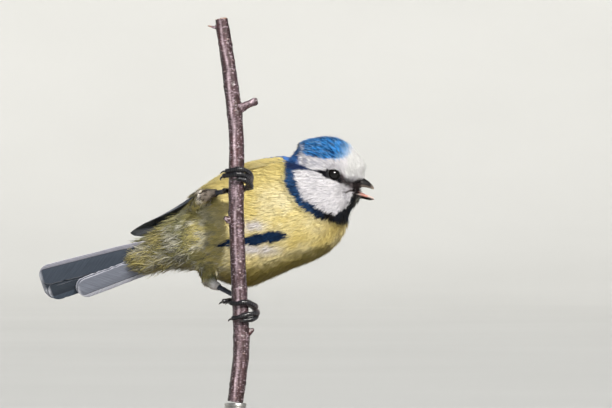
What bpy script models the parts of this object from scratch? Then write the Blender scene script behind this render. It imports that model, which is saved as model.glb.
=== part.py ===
"""A blue tit clinging sideways to an upright twig, life size, on a plain display stand.

Metres, +Z up, origin at the centre of the stand's underside. The bird's bill points to +X, its tail to -X,
its belly to -Y. Outlines are set out on a side elevation seen along +Y: one grid unit is 0.337 mm, gx runs
to +X and gy runs down, and depths along Y are in millimetres.
"""

import math

import bmesh
import bpy
import numpy as np
from mathutils import Vector

# ---------------------------------------------------------------- driving sizes
UNIT = 0.337  # mm to one grid unit of the side elevation
GX0, GZ0 = 267.7, 470.0  # grid position of X = 0, and of the surface the stand rests on
GAP = 0.3  # mm between neighbouring pieces

TWIG_Y = -16.0  # mm, depth of the twig's axis
BODY_Y = 8.5  # mm, depth of the trunk's axis
TWIG_TOP, TWIG_END = 20.5, 400.0  # gy of the broken top and of the sawn lower end

TAIL_ROOT = (184.0, 245.0)  # grid position where the tail feathers spring
BODY_PITCH = math.radians(17.0)  # the trunk climbs this much towards the head
BODY_ROLL = math.radians(22.0)  # the back faces +Y and leans up by this much

HEAD_AT = (326.0, 179.0)
HEAD_PITCH = math.radians(14.0)  # the bill dips this much
HEAD_FRONT, HEAD_BACK, HEAD_TOP, HEAD_DEEP, HEAD_SIDE = 13.4, 13.9, 14.6, 14.5, 11.7
EYE_F, EYE_Z, EYE_R, EYE_APEX = 1.84, 1.95, 2.5, 10.0  # mm, in the head's own axes

BASE_R, BASE_H = 46.0, 10.0
ROD_R, FERRULE_R = 2.1, 3.7

MM = 0.001


def world(gx, gy, y=0.0):
    """Grid position and depth in mm -> millimetres in the part's frame."""
    return np.array([(gx - GX0) * UNIT, y, (GZ0 - gy) * UNIT])


# Body axes: forward along the trunk, right and up as the bird has them.
FORWARD = np.array([math.cos(BODY_PITCH), 0, math.sin(BODY_PITCH)])
ACROSS = np.array([-math.sin(BODY_PITCH), 0, math.cos(BODY_PITCH)])
DEPTH = np.array([0.0, 1.0, 0.0])
RIGHT = ACROSS * math.cos(BODY_ROLL) - DEPTH * math.sin(BODY_ROLL)
DORSAL = ACROSS * math.sin(BODY_ROLL) + DEPTH * math.cos(BODY_ROLL)
ROOT = world(*TAIL_ROOT, BODY_Y)

# Head axes: the head is turned upright, so its right side faces -Y.
HEAD_C = world(*HEAD_AT, BODY_Y)
HEAD_F = np.array([math.cos(HEAD_PITCH), 0, -math.sin(HEAD_PITCH)])
HEAD_Z = np.array([math.sin(HEAD_PITCH), 0, math.cos(HEAD_PITCH)])
HEAD_L = np.array([0.0, 1.0, 0.0])


def body(s, a, c):
    return ROOT + FORWARD * s + RIGHT * a + DORSAL * c


def head(f, side, z):
    return HEAD_C + HEAD_F * f + HEAD_L * side + HEAD_Z * z


def ease(low, high, x):
    t = np.clip((np.asarray(x, float) - low) / (high - low), 0, 1)
    return t * t * (3 - 2 * t)


def through(rows, count):
    """Catmull-Rom curve through the rows, read at count even steps."""
    rows = np.asarray(rows, float)
    padded = np.vstack([2 * rows[0] - rows[1], rows, 2 * rows[-1] - rows[-2]])
    out = []
    for x in np.linspace(0, len(rows) - 1, count):
        i = min(int(x), len(rows) - 2)
        t = x - i
        p0, p1, p2, p3 = padded[i : i + 4]
        out.append(
            0.5
            * (
                2 * p1
                + (p2 - p0) * t
                + (2 * p0 - 5 * p1 + 4 * p2 - p3) * t**2
                + (3 * p1 - p0 - 3 * p2 + p3) * t**3
            )
        )
    return np.array(out)


# ---------------------------------------------------------------- scene and helpers
for obj in list(bpy.data.objects):
    bpy.data.objects.remove(obj, do_unlink=True)

PARTS = bpy.data.collections.new("blue_tit_on_twig")
CUTTERS = bpy.data.collections.new("cutters")
bpy.context.scene.collection.children.link(PARTS)
bpy.context.scene.collection.children.link(CUTTERS)
CUTTERS.hide_render = True


def finish(name, color, roughness, metallic=0.0):
    made = bpy.data.materials.new(name)
    made.use_nodes = True
    shader = made.node_tree.nodes["Principled BSDF"]
    shader.inputs["Base Color"].default_value = (*color, 1)
    shader.inputs["Roughness"].default_value = roughness
    shader.inputs["Metallic"].default_value = metallic
    return made


def add(name, mesh, collection=CUTTERS):
    obj = bpy.data.objects.new(name, mesh)
    collection.objects.link(obj)
    if collection is CUTTERS:
        obj.hide_render = True
        obj.display_type = "WIRE"
    return obj


def mesh_of(name, points, faces):
    mesh = bpy.data.meshes.new(name)
    mesh.from_pydata((np.asarray(points) * MM).tolist(), [], [list(f) for f in faces])
    bm = bmesh.new()
    bm.from_mesh(mesh)
    bmesh.ops.remove_doubles(bm, verts=bm.verts, dist=1e-7)
    bmesh.ops.recalc_face_normals(bm, faces=bm.faces)
    if bm.calc_volume(signed=True) < 0:
        bmesh.ops.reverse_faces(bm, faces=bm.faces)
    bm.to_mesh(mesh)
    bm.free()
    return mesh


def loft(name, rings, collection=CUTTERS):
    """Closed skin over rings of equal count, with a flat cap at either end."""
    rings = np.asarray(rings)
    n, m = rings.shape[:2]
    faces = [
        (i * m + j, i * m + (j + 1) % m, (i + 1) * m + (j + 1) % m, (i + 1) * m + j)
        for i in range(n - 1)
        for j in range(m)
    ]
    faces += [tuple(range(m))[::-1], tuple(range((n - 1) * m, n * m))]
    return add(name, mesh_of(name, rings.reshape(-1, 3), faces), collection)


def settle(obj):
    """The object as its modifiers leave it, as a plain mesh."""
    graph = bpy.context.evaluated_depsgraph_get()
    graph.update()
    mesh = bpy.data.meshes.new_from_object(obj.evaluated_get(graph))
    obj.modifiers.clear()
    obj.data = mesh
    return obj


def boolean(obj, other, operation):
    cut = obj.modifiers.new(operation.lower(), "BOOLEAN")
    cut.operation = operation
    cut.solver = "EXACT"
    cut.object = other
    return settle(obj)


def largest(obj):
    """Keeps the biggest connected piece, dropping slivers that a cut leaves behind."""
    bm = bmesh.new()
    bm.from_mesh(obj.data)
    left, groups = set(bm.verts), []
    while left:
        group, edge = set(), [left.pop()]
        while edge:
            vertex = edge.pop()
            group.add(vertex)
            for link in vertex.link_edges:
                other = link.other_vert(vertex)
                if other in left:
                    left.discard(other)
                    edge.append(other)
        groups.append(group)
    groups.sort(key=len, reverse=True)
    loose = [vertex for group in groups[1:] for vertex in group]
    if loose:
        bmesh.ops.delete(bm, geom=loose, context="VERTS")
    bm.to_mesh(obj.data)
    bm.free()
    return obj


def copy_of(obj, name, collection=CUTTERS):
    return add(name, obj.data.copy(), collection)


def grown(obj, name, amount):
    """A copy of obj pushed out by amount mm along its normals."""
    made = copy_of(obj, name)
    push = made.modifiers.new("grow", "DISPLACE")
    push.mid_level = 0.0
    push.strength = amount * MM
    return settle(made)


def tube(name, points, radii, sides=2, collection=CUTTERS):
    """A round rod along points (mm) whose radius follows radii (mm)."""
    curve = bpy.data.curves.new(name, "CURVE")
    curve.dimensions = "3D"
    curve.bevel_depth = MM
    curve.bevel_resolution = sides
    curve.use_fill_caps = True
    spline = curve.splines.new("POLY")
    spline.points.add(len(points) - 1)
    for point, co, r in zip(spline.points, points, radii):
        point.co = (*(np.asarray(co) * MM), 1)
        point.radius = r
    rod = add(name + "_line", curve)
    graph = bpy.context.evaluated_depsgraph_get()
    mesh = bpy.data.meshes.new_from_object(rod.evaluated_get(graph))
    bpy.data.objects.remove(rod, do_unlink=True)
    bm = bmesh.new()
    bm.from_mesh(mesh)
    bmesh.ops.remove_doubles(bm, verts=bm.verts, dist=1e-6)
    bmesh.ops.recalc_face_normals(bm, faces=bm.faces)
    if bm.calc_volume(signed=True) < 0:
        bmesh.ops.reverse_faces(bm, faces=bm.faces)
    bm.to_mesh(mesh)
    bm.free()
    return add(name, mesh, collection)


def ball(name, centre, radius, segments=24, collection=CUTTERS, squash=(1, 1, 1)):
    bm = bmesh.new()
    bmesh.ops.create_uvsphere(bm, u_segments=segments, v_segments=segments // 2, radius=radius * MM)
    bmesh.ops.scale(bm, vec=squash, verts=bm.verts)
    bmesh.ops.translate(bm, vec=Vector(np.asarray(centre) * MM), verts=bm.verts)
    mesh = bpy.data.meshes.new(name)
    bm.to_mesh(mesh)
    bm.free()
    return add(name, mesh, collection)


def fused(name, pieces, voxel, rounds, triangles):
    """Pieces melted into one smooth closed body of about so many triangles."""
    bm = bmesh.new()
    for piece in pieces:
        bm.from_mesh(piece.data)
    mesh = bpy.data.meshes.new(name)
    bm.to_mesh(mesh)
    bm.free()
    made = add(name, mesh)
    melt = made.modifiers.new("melt", "REMESH")
    melt.mode = "VOXEL"
    melt.voxel_size = voxel * MM
    melt.adaptivity = 0.0
    soften = made.modifiers.new("soften", "SMOOTH")
    soften.factor = 0.5
    soften.iterations = rounds
    settle(made)
    thin = made.modifiers.new("thin", "DECIMATE")
    thin.ratio = min(1.0, triangles / (2.0 * len(made.data.polygons)))
    return settle(made)


def prism(name, outline, low, high):
    """An outline of grid positions, run from depth low to depth high."""
    front = [world(gx, gy, low) for gx, gy in outline]
    back = [world(gx, gy, high) for gx, gy in outline]
    m = len(outline)
    faces = [tuple(range(m)), tuple(range(m, 2 * m))[::-1]]
    faces += [(i, (i + 1) % m, m + (i + 1) % m, m + i) for i in range(m)]
    return add(name, mesh_of(name, front + back, faces))


def as_part(obj, name, material):
    largest(obj)
    for held in list(obj.users_collection):
        held.objects.unlink(obj)
    PARTS.objects.link(obj)
    obj.name = name
    obj.data.name = name
    obj.hide_render = False
    obj.display_type = "TEXTURED"
    obj.data.materials.clear()
    obj.data.materials.append(material)
    obj.data.shade_smooth()
    return obj


# ---------------------------------------------------------------- trunk
# Each station: top of the outline, bottom of the outline, depth in front of and behind the axis.
TRUNK = (
    (124, 250, 127, 263, 1.2, 1.4),
    (140, 240, 143, 272.5, 4.2, 4.6),
    (158, 229, 162, 270, 7.0, 7.6),
    (175, 216, 181, 267.5, 9.6, 10.2),
    (190, 201, 202, 273, 12.0, 12.6),
    (206, 185, 224, 282.5, 14.0, 14.6),
    (225, 175.5, 247, 288, 15.4, 16.2),
    (247, 167.5, 270, 279.5, 16.2, 17.0),
    (268, 161, 292, 269.5, 16.4, 17.0),
    (285, 158.5, 313, 261.5, 15.8, 16.4),
    (297, 157, 330, 252, 14.6, 15.2),
    (308, 158, 342, 239, 12.8, 13.6),
    (319, 165, 349, 224, 10.6, 11.2),
    (330, 178, 350, 210, 6.0, 6.4),
)


def trunk_ring(row, count=40):
    top, low = world(row[0], row[1], BODY_Y), world(row[2], row[3], BODY_Y)
    middle, half = (top + low) / 2, (top - low) / 2
    ring = []
    for turn in np.linspace(0, 2 * math.pi, count, endpoint=False):
        up, out = math.cos(turn), math.sin(turn)
        reach = row[4] if out > 0 else row[5]
        ring.append(middle + half * up - DEPTH * reach * out)
    return ring


trunk_shape = loft("trunk_shape", [trunk_ring(row) for row in through(TRUNK, 40)])


# ---------------------------------------------------------------- head
def head_point(d):
    """Surface of the feathered head in direction d = (forward, side, up), in the part's frame."""
    f = d[0] * (HEAD_FRONT if d[0] > 0 else HEAD_BACK)
    z = d[2] * (HEAD_TOP if d[2] > 0 else HEAD_DEEP)
    side = d[1] * HEAD_SIDE
    side *= 1 - 0.26 * ease(3, 13.4, f)
    side *= 1 - 0.07 * ease(3, 14, z)
    side *= 1 + 0.08 * math.exp(-(((f + 2.5) / 6) ** 2) - ((z + 5) / 5.5) ** 2)
    hollow = math.exp(-(((f - EYE_F - 0.6) / 4.6) ** 2) - ((z - EYE_Z) / 3.4) ** 2)
    side -= math.copysign(1.9 * hollow * min(1, abs(d[1]) * 1.2), side)
    return head(f, side, z)


bm = bmesh.new()
bmesh.ops.create_uvsphere(bm, u_segments=48, v_segments=32, radius=1.0)
for vertex in bm.verts:
    vertex.co = Vector(head_point(np.array(vertex.co.normalized())) * MM)
bmesh.ops.recalc_face_normals(bm, faces=bm.faces)
mesh = bpy.data.meshes.new("head_shape")
bm.to_mesh(mesh)
bm.free()
head_shape = add("head_shape", mesh)

# ---------------------------------------------------------------- the whole feathered outline, then its cuts
whole = fused("whole", [trunk_shape, head_shape], 0.8, 6, 2500)
whole_grown = grown(whole, "whole_grown", GAP)

# Section lines across the neck, nape to throat: head | neck | trunk.
CUT_HEAD = ((299.0, 147.0), (353.0, 224.0))
CUT_NECK = ((283.0, 152.0), (334.0, 258.0))


def line_at(cut, gy, shift=0.0):
    (x0, y0), (x1, y1) = cut
    return (x0 + (x1 - x0) * (gy - y0) / (y1 - y0) + shift, gy)


half_gap = GAP / 2 / UNIT * 1.2
head_room = prism(
    "head_room",
    [line_at(CUT_HEAD, 100, half_gap), (420, 100), (420, 300), line_at(CUT_HEAD, 300, half_gap)],
    -40, 60,
)
neck_room = prism(
    "neck_room",
    [
        line_at(CUT_NECK, 100, half_gap), line_at(CUT_HEAD, 100, -half_gap),
        line_at(CUT_HEAD, 300, -half_gap), line_at(CUT_NECK, 300, half_gap),
    ],
    -40, 60,
)
trunk_room = prism(
    "trunk_room",
    [(20, 100), line_at(CUT_NECK, 100, -half_gap), line_at(CUT_NECK, 340, -half_gap), (20, 340)],
    -40, 60,
)


# ---------------------------------------------------------------- bill
# Stations along each mandible: gx, gy of the ridge, gy of the cutting edge, half width in mm.
UPPER = (
    (351.5, 182.0, 190.2, 2.3),
    (356, 179.6, 189.0, 2.35),
    (361, 178.3, 187.2, 2.1),
    (365, 179.8, 187.2, 1.6),
    (369, 182.2, 188.2, 1.05),
    (372, 184.8, 189.0, 0.55),
    (373.8, 187.2, 189.2, 0.25),
)
LOWER = (
    (350.5, 191.2, 195.0, 2.2),
    (355, 192.3, 196.2, 2.15),
    (360, 193.2, 198.0, 1.8),
    (364.5, 194.6, 199.0, 1.4),
    (368.5, 195.3, 200.0, 1.0),
    (371.8, 196.6, 200.0, 0.6),
    (374, 198.0, 199.6, 0.25),
)


def mandible(name, rows, grow=0.0, count=12, deep=1.0):
    rings = []
    for gx, top, low, wide in through(rows, 10):
        ring = []
        for turn in np.linspace(0, 2 * math.pi, count, endpoint=False):
            up, out = math.cos(turn), math.sin(turn)
            flat = 0.72 if (up < 0) == (deep > 0) else 1.0  # fuller towards the cutting edge
            half = (low - top) / 2 * UNIT + grow
            middle = world(gx, (top + low) / 2, BODY_Y)
            side = math.copysign(abs(out) ** flat, out) * (wide + grow)
            ring.append(middle + np.array([0, side, up * half]))
        rings.append(ring)
    if grow:
        rings[0] = [p - np.array([grow * 1.2, 0, 0]) for p in rings[0]]
    return loft(name, rings)


bill_upper = mandible("bill_upper_shape", UPPER)
bill_lower = mandible("bill_lower_shape", LOWER, deep=-1.0)
bill_room = fused(
    "bill_room",
    [
        mandible("bill_upper_room", UPPER, GAP * 1.5),
        mandible("bill_lower_room", LOWER, GAP * 1.5, deep=-1.0),
        prism("gape", [(352.5, 189.4), (374, 185.5), (374, 199), (352.5, 193.2)], BODY_Y - 1.5, BODY_Y + 1.5),
    ],
    0.2, 1, 420,
)

# ---------------------------------------------------------------- eyes
eyes, eye_rooms = {}, []
for side, name in ((-1, "eye_right"), (1, "eye_left")):
    centre = head(EYE_F, side * (EYE_APEX - EYE_R), EYE_Z)
    eyes[name] = ball(name + "_shape", centre, EYE_R, 14)
    eye_rooms.append(ball(name + "_room", centre, EYE_R + GAP, 14))

# ---------------------------------------------------------------- wings
# Stations along the folded wing, in body axes: s, then (a, c) of the lower edge, the bulge and the upper
# edge, then the thickness. The tip is where the longest primaries end.
WING = (
    (44.5, 14.2, 4.6, 13.6, 7.4, 10.6, 11.4, 1.0),
    (40, 16.6, 3.6, 15.4, 9.6, 8.6, 14.4, 2.2),
    (29, 18.6, 3.6, 15.0, 13.2, 4.6, 17.6, 2.4),
    (18, 16.8, 4.4, 14.0, 12.6, 3.4, 16.8, 2.3),
    (5, 12.6, 5.4, 10.2, 10.6, 3.0, 13.2, 2.0),
    (-6, 10.2, 6.2, 7.8, 9.0, 3.6, 9.8, 1.5),
    (-12, 8.9, 6.9, 7.2, 8.4, 4.6, 8.6, 1.1),
    (-16.4, 7.3, 7.5, 6.7, 7.9, 5.9, 8.2, 0.7),
)


def wing_ring(row, side, count=7):
    s, al, cl, am, cm, au, cu, thick = row
    # the left wing is folded in closer behind the rump, and lies where the back is flatter
    fold = 1.0 if side > 0 else 0.97 - 0.32 * float(1 - ease(-16, 16, s))
    flat = 1.0 if side > 0 else 0.985
    low, middle, high = np.array([al, cl]), np.array([am, cm]), np.array([au, cu])
    outer, inner = [], []
    for t in np.linspace(0, 1, count):
        p = low * (1 - t) * (1 - 2 * t) + middle * 4 * t * (1 - t) + high * t * (2 * t - 1)
        d = low * (4 * t - 3) + middle * (4 - 8 * t) + high * (4 * t - 1)
        normal = np.array([-d[1], d[0]]) / np.linalg.norm(d)
        if normal @ p < 0:
            normal = -normal
        deep = thick * (0.35 + 0.65 * math.sin(math.pi * min(max(t, 0.05), 0.95)))
        outer.append(p + normal * 0.25)
        inner.append(p - normal * deep)
    ring = outer + inner[::-1]
    return [body(s, side * fold * a, flat * c) for a, c in ring]


wings = {}
for side, name in ((1, "wing_right"), (-1, "wing_left")):
    wings[name] = loft(name + "_shape", [wing_ring(row, side) for row in through(WING, 15)])

# ---------------------------------------------------------------- tail
# Feathers by number, 1 at the middle to 6 outermost; side +1 is the bird's right. Root and tip in body axes.
BLADE = 0.7


def rectrix(side, k):
    """(root, tip, half width) of tail feather k."""
    if side > 0:
        tip = (-49.6, 4.9 - (6 - k) * 1.2, 0.6 - 0.3 * k)
        return body(3, 0.35 * k, 0.4 - 0.3 * k), body(*tip), 3.7
    length = {1: 49.6, 2: 49.4, 3: 48.0, 4: 45.5, 5: 40.5, 6: 38.6}[k]
    drop = {1: 0.2, 2: -0.1, 3: -0.5, 4: -1.0, 5: -1.6, 6: -2.2}[k]
    across = {1: -0.8, 2: -1.1, 3: -1.3, 4: -1.5, 5: -3.2, 6: -3.8}[k]
    return body(3, -0.2 * k, 0.4 - 0.3 * k), body(-length, across, drop), 3.6


def blade(name, side, k, thick=BLADE, steps=8):
    root, tip, wide = rectrix(side, k)
    along = tip - root
    length = np.linalg.norm(along)
    along /= length
    across = np.cross(DORSAL, along)
    across /= np.linalg.norm(across)
    up = np.cross(along, across)
    edge = []
    for t in np.linspace(0, 1, steps):
        w = wide * (0.42 + 0.58 * float(ease(0, 0.45, t)))
        edge.append((t * (length - wide), w))
    for turn in np.linspace(0, math.pi / 2, 6)[1:]:
        edge.append((length - wide + wide * math.sin(turn), wide * max(math.cos(turn), 0.0)))
    outline = [(x, w) for x, w in edge] + [(x, -w) for x, w in edge[-2::-1]]
    points = []
    for lift in (-thick / 2, thick / 2):
        points += [root + along * x + across * w + up * lift for x, w in outline]
    m = len(outline)
    faces = [tuple(range(m)), tuple(range(m, 2 * m))[::-1]]
    faces += [(i, (i + 1) % m, m + (i + 1) % m, m + i) for i in range(m)]
    return add(name, mesh_of(name, points, faces))


tail = blade("tail_shape", 1, 6)
for side, k in ((1, 5), (1, 3), (1, 1), (-1, 2), (-1, 4), (-1, 5), (-1, 6)):
    boolean(tail, blade(f"rectrix_{side}_{k}", side, k), "UNION")
tail_root = tube(
    "tail_core",
    [body(6, 0, 0), body(0, 0, -0.4), body(-9, 0.2, -0.6), body(-16, 0.2, -0.8)],
    [1.6, 1.7, 1.5, 0.7], sides=3,
)
boolean(tail, tail_root, "UNION")

# ---------------------------------------------------------------- twig
TWIG = (
    (222.3, 20.5, 2.15), (224.2, 34, 2.25), (227.5, 56, 2.35), (231, 80, 2.45), (234, 103, 2.55),
    (236.6, 128, 2.5), (237.4, 152, 2.55), (237, 185, 2.6), (237.2, 218, 2.6), (238.6, 259, 2.6),
    (240.3, 295, 2.65), (241.6, 320, 2.7), (242, 349, 2.75), (239.4, 374, 2.7), (236.2, 400, 2.65),
)


def twig_at(gy):
    """(centre, radius) of the twig at height gy."""
    rows = np.array(TWIG)
    return world(np.interp(gy, rows[:, 1], rows[:, 0]), gy, TWIG_Y), float(np.interp(gy, rows[:, 1], rows[:, 2]))


line = through(TWIG, 25)
perch = tube("perch_shape", [world(gx, gy, TWIG_Y) for gx, gy, r in line], [r for gx, gy, r in line], sides=3)


def stub(name, rows):
    return tube(name, [world(gx, gy, y) for gx, gy, y, r in rows], [row[3] for row in rows], sides=2)


SNAGS = (
    ((234, 112, TWIG_Y, 1.6), (243, 108.5, TWIG_Y, 1.5), (250, 105, TWIG_Y - 0.3, 1.25), (255.5, 102.8, TWIG_Y - 0.5, 1.3), (258, 102.2, TWIG_Y - 0.5, 0.9)),
    ((222.5, 30, TWIG_Y, 0.8), (215, 29, TWIG_Y, 0.5), (208.5, 27.5, TWIG_Y, 0.3)),
    ((234, 222, TWIG_Y, 1.3), (228.5, 219.5, TWIG_Y - 1.2, 1.1), (225, 217.5, TWIG_Y - 1.8, 0.6)),
    ((243, 334, TWIG_Y, 1.5), (250, 330.5, TWIG_Y, 1.1), (254.5, 327.5, TWIG_Y, 0.5)),
)
for i, rows in enumerate(SNAGS):
    boolean(perch, stub(f"snag_{i}", rows), "UNION")


# ---------------------------------------------------------------- legs
def round_twig(turn, reach, gy):
    """A point reach mm from the twig's axis, turned from +X towards +Y by turn degrees."""
    centre, _ = twig_at(gy)
    turn = math.radians(turn)
    return centre + np.array([reach * math.cos(turn), reach * math.sin(turn), 0])


# Toes wind round the twig from the bird's side: (turn, reach, gy) along each, then radii at base and claw tip.
TOES = {
    "right": (
        ((30, 4.7, 186.0), (8, 4.9, 181.5), (-12, 4.7, 175), (-40, 4.0, 170.8), (-75, 3.75, 169.6), (-112, 3.75, 170.4), (-146, 3.95, 171.6), (-166, 4.7, 172.0), (-178, 5.5, 174.2)),
        ((30, 4.7, 186.0), (6, 4.8, 184.0), (-18, 4.5, 179), (-50, 3.85, 175.2), (-88, 3.75, 174.4), (-126, 3.8, 175.6), (-158, 4.4, 176.2), (-176, 5.2, 178.6), (-184, 5.3, 180.8)),
        ((30, 4.7, 186.0), (12, 4.9, 187.0), (-10, 4.6, 184.6), (-38, 4.0, 181.0), (-66, 3.8, 179.4), (-92, 3.8, 179.6), (-112, 4.2, 181.0)),
        ((30, 4.7, 186.0), (58, 4.5, 189.5), (90, 4.0, 191.5), (124, 3.8, 191.5), (152, 4.1, 190.6), (172, 4.6, 191.6), (184, 4.5, 193.4)),
    ),
    "left": (
        ((30, 4.9, 305.0), (6, 5.1, 306.2), (-14, 5.0, 304.6), (-42, 4.1, 301.6), (-74, 3.85, 301.2), (-106, 3.8, 302.4), (-138, 3.9, 301.8), (-166, 4.4, 301.8), (-182, 5.0, 303.6)),
        ((30, 4.9, 305.0), (10, 5.2, 309.0), (-8, 5.5, 312.0), (-36, 4.5, 312.6), (-68, 3.85, 314.0), (-100, 3.8, 315.8), (-130, 3.9, 317.0), (-154, 4.3, 318.6), (-164, 4.4, 320.4)),
        ((30, 4.9, 305.0), (14, 5.2, 311.0), (-6, 5.1, 316.0), (-34, 4.3, 318.0), (-62, 3.9, 318.8), (-86, 3.9, 319.6), (-104, 4.3, 321.4)),
        ((30, 4.9, 305.0), (60, 4.6, 304.0), (92, 4.1, 302.0), (124, 4.0, 300.4), (152, 4.3, 299.6), (170, 5.3, 300.2), (177, 6.4, 301.6), (180, 7.1, 303.4)),
    ),
}
HEEL = {"right": world(207, 194.5, -3.6), "left": world(213, 283.5, -2.6)}
KNEE = {"right": world(193, 214, 5.0), "left": world(205, 262, 7.0)}
TARSUS_R = 0.85


def foot(side):
    ankle = round_twig(30, 5.3, 187.5 if side == "right" else 304.5)
    heel = HEEL[side]
    shank = tube(
        "shank_" + side,
        [heel, heel * 0.94 + ankle * 0.06, heel * 0.7 + ankle * 0.3, heel * 0.3 + ankle * 0.7, ankle,
         round_twig(22, 4.9, 186.2 if side == "right" else 305.4)],
        [0.8, 1.05, TARSUS_R, TARSUS_R, 1.05, 0.95], sides=2,
    )
    pieces = [shank]
    for i, toe in enumerate(TOES[side]):
        path = through([round_twig(*row) for row in toe], 14)
        x = np.linspace(0, 1, len(path))
        radii = np.where(x < 0.76, 0.82 - 0.2 * x, 0.62 - (x - 0.76) * 1.5)
        pieces.append(tube(f"toe_{side}_{i}", path, np.maximum(radii, 0.3), sides=2))
    return fused("foot_shape_" + side, pieces, 0.2, 1, 680)


feet = {side: foot(side) for side in ("right", "left")}

thighs = {}
for side in ("right", "left"):
    knee, heel = KNEE[side], HEEL[side]
    ankle = round_twig(30, 5.3, 187.5 if side == "right" else 304.5)
    stop = heel + (heel - ankle) / np.linalg.norm(heel - ankle) * 0.6
    path = through([knee, knee * 0.5 + stop * 0.5 + DEPTH * -0.8, stop + (heel - ankle) * 0.08, stop], 8)
    thighs[side] = tube("thigh_shape_" + side, path, [3.6, 3.6, 3.4, 3.2, 2.9, 2.5, 2.1, 1.7], sides=3)

# ---------------------------------------------------------------- stand
foot_at, _ = twig_at(TWIG_END)
bm = bmesh.new()
bmesh.ops.create_cone(bm, cap_ends=True, segments=40, radius1=BASE_R * MM, radius2=BASE_R * MM, depth=BASE_H * MM)
bmesh.ops.translate(bm, vec=(0, 0, BASE_H / 2 * MM), verts=bm.verts)
mesh = bpy.data.meshes.new("stand_base")
bm.to_mesh(mesh)
bm.free()
stand_base = add("stand_base_shape", mesh)
ease_edge = stand_base.modifiers.new("edge", "BEVEL")
ease_edge.width = 1.6 * MM
ease_edge.segments = 2
ease_edge.limit_method = "ANGLE"
settle(stand_base)

# The rod is turned: a round foot on the base, the rod, and a ferrule that the twig's sawn end stands on.
rod_top = foot_at[2] - GAP
rod_low = BASE_H + GAP
PROFILE = (
    (0, rod_top), (FERRULE_R, rod_top), (FERRULE_R, rod_top - 3.4), (ROD_R + 0.4, rod_top - 4.2),
    (ROD_R, rod_top - 5.0), (ROD_R, rod_low + 2.6), (ROD_R + 0.8, rod_low + 1.8), (6.0, rod_low + 1.2),
    (6.4, rod_low + 0.6), (6.4, rod_low), (0, rod_low),
)
mesh = bpy.data.meshes.new("stand_rod")
mesh.from_pydata([(r * MM, 0, z * MM) for r, z in PROFILE], [(i, i + 1) for i in range(len(PROFILE) - 1)], [])
stand_rod = add("stand_rod_shape", mesh)
turned = stand_rod.modifiers.new("turned", "SCREW")
turned.axis = "Z"
turned.steps = turned.render_steps = 16
turned.use_merge_vertices = True
turned.merge_threshold = 1e-5
settle(stand_rod)
bm = bmesh.new()
bm.from_mesh(stand_rod.data)
bmesh.ops.remove_doubles(bm, verts=bm.verts, dist=1e-6)
bmesh.ops.recalc_face_normals(bm, faces=bm.faces)
if bm.calc_volume(signed=True) < 0:
    bmesh.ops.reverse_faces(bm, faces=bm.faces)
bmesh.ops.translate(bm, vec=(foot_at[0] * MM, foot_at[1] * MM, 0), verts=bm.verts)
bm.to_mesh(stand_rod.data)
bm.free()

# ---------------------------------------------------------------- materials
YELLOW = finish("plumage_yellow", (0.72, 0.60, 0.16), 0.8)
WHITE = finish("plumage_white", (0.82, 0.81, 0.78), 0.8)
NAVY = finish("plumage_navy", (0.03, 0.05, 0.13), 0.7)
BLUE = finish("plumage_blue", (0.10, 0.22, 0.50), 0.7)
SLATE = finish("plumage_slate", (0.11, 0.14, 0.18), 0.6)
HORN = finish("bill_horn", (0.03, 0.03, 0.035), 0.35)
EYE = finish("eye_dark", (0.012, 0.008, 0.006), 0.05)
SCALY = finish("foot_scales", (0.05, 0.055, 0.075), 0.5)
BARK = finish("twig_bark", (0.20, 0.12, 0.11), 0.75)
WOOD = finish("stand_wood", (0.28, 0.16, 0.08), 0.45)
METAL = finish("stand_steel", (0.45, 0.44, 0.42), 0.35, 1.0)

# ---------------------------------------------------------------- nodes
head_node = boolean(copy_of(whole, "head_node"), head_room, "INTERSECT")
for room in eye_rooms + [bill_room]:
    boolean(head_node, room, "DIFFERENCE")
as_part(head_node, "head", WHITE)
as_part(boolean(copy_of(whole, "neck_node"), neck_room, "INTERSECT"), "neck", NAVY)
as_part(boolean(copy_of(whole, "trunk_node"), trunk_room, "INTERSECT"), "trunk", YELLOW)
as_part(boolean(tail, whole_grown, "DIFFERENCE"), "tail", SLATE)
for name, wing in wings.items():
    boolean(wing, whole_grown, "DIFFERENCE")
    as_part(wing, name, BLUE)
for side in ("right", "left"):
    boolean(thighs[side], whole_grown, "DIFFERENCE")
    as_part(thighs[side], "thigh_" + side, YELLOW)
    as_part(feet[side], "foot_" + side, SCALY)
as_part(bill_upper, "bill_upper", HORN)
as_part(bill_lower, "bill_lower", HORN)
for name, eye in eyes.items():
    as_part(eye, name, EYE)
as_part(perch, "perch", BARK)
as_part(stand_base, "stand_base", WOOD)
as_part(stand_rod, "stand_rod", METAL)

for obj in list(CUTTERS.objects):
    bpy.data.objects.remove(obj, do_unlink=True)
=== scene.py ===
import math

import bmesh
import bpy
import numpy as np
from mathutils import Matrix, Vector
from mathutils.bvhtree import BVHTree

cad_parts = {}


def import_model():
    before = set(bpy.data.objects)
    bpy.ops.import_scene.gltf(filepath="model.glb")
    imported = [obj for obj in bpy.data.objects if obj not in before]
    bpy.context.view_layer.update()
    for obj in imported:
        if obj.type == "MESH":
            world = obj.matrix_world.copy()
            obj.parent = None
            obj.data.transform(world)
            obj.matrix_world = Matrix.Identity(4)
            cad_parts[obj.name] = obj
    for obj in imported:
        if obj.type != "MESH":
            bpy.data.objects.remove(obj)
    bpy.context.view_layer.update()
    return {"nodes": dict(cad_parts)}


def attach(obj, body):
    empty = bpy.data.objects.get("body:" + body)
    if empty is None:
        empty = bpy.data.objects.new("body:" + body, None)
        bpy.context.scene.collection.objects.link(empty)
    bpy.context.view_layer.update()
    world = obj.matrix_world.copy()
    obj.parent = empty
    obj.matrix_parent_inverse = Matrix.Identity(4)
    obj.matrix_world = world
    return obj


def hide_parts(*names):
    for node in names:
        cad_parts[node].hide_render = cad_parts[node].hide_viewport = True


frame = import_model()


NODES = frame["nodes"]
MM = 0.001
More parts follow.
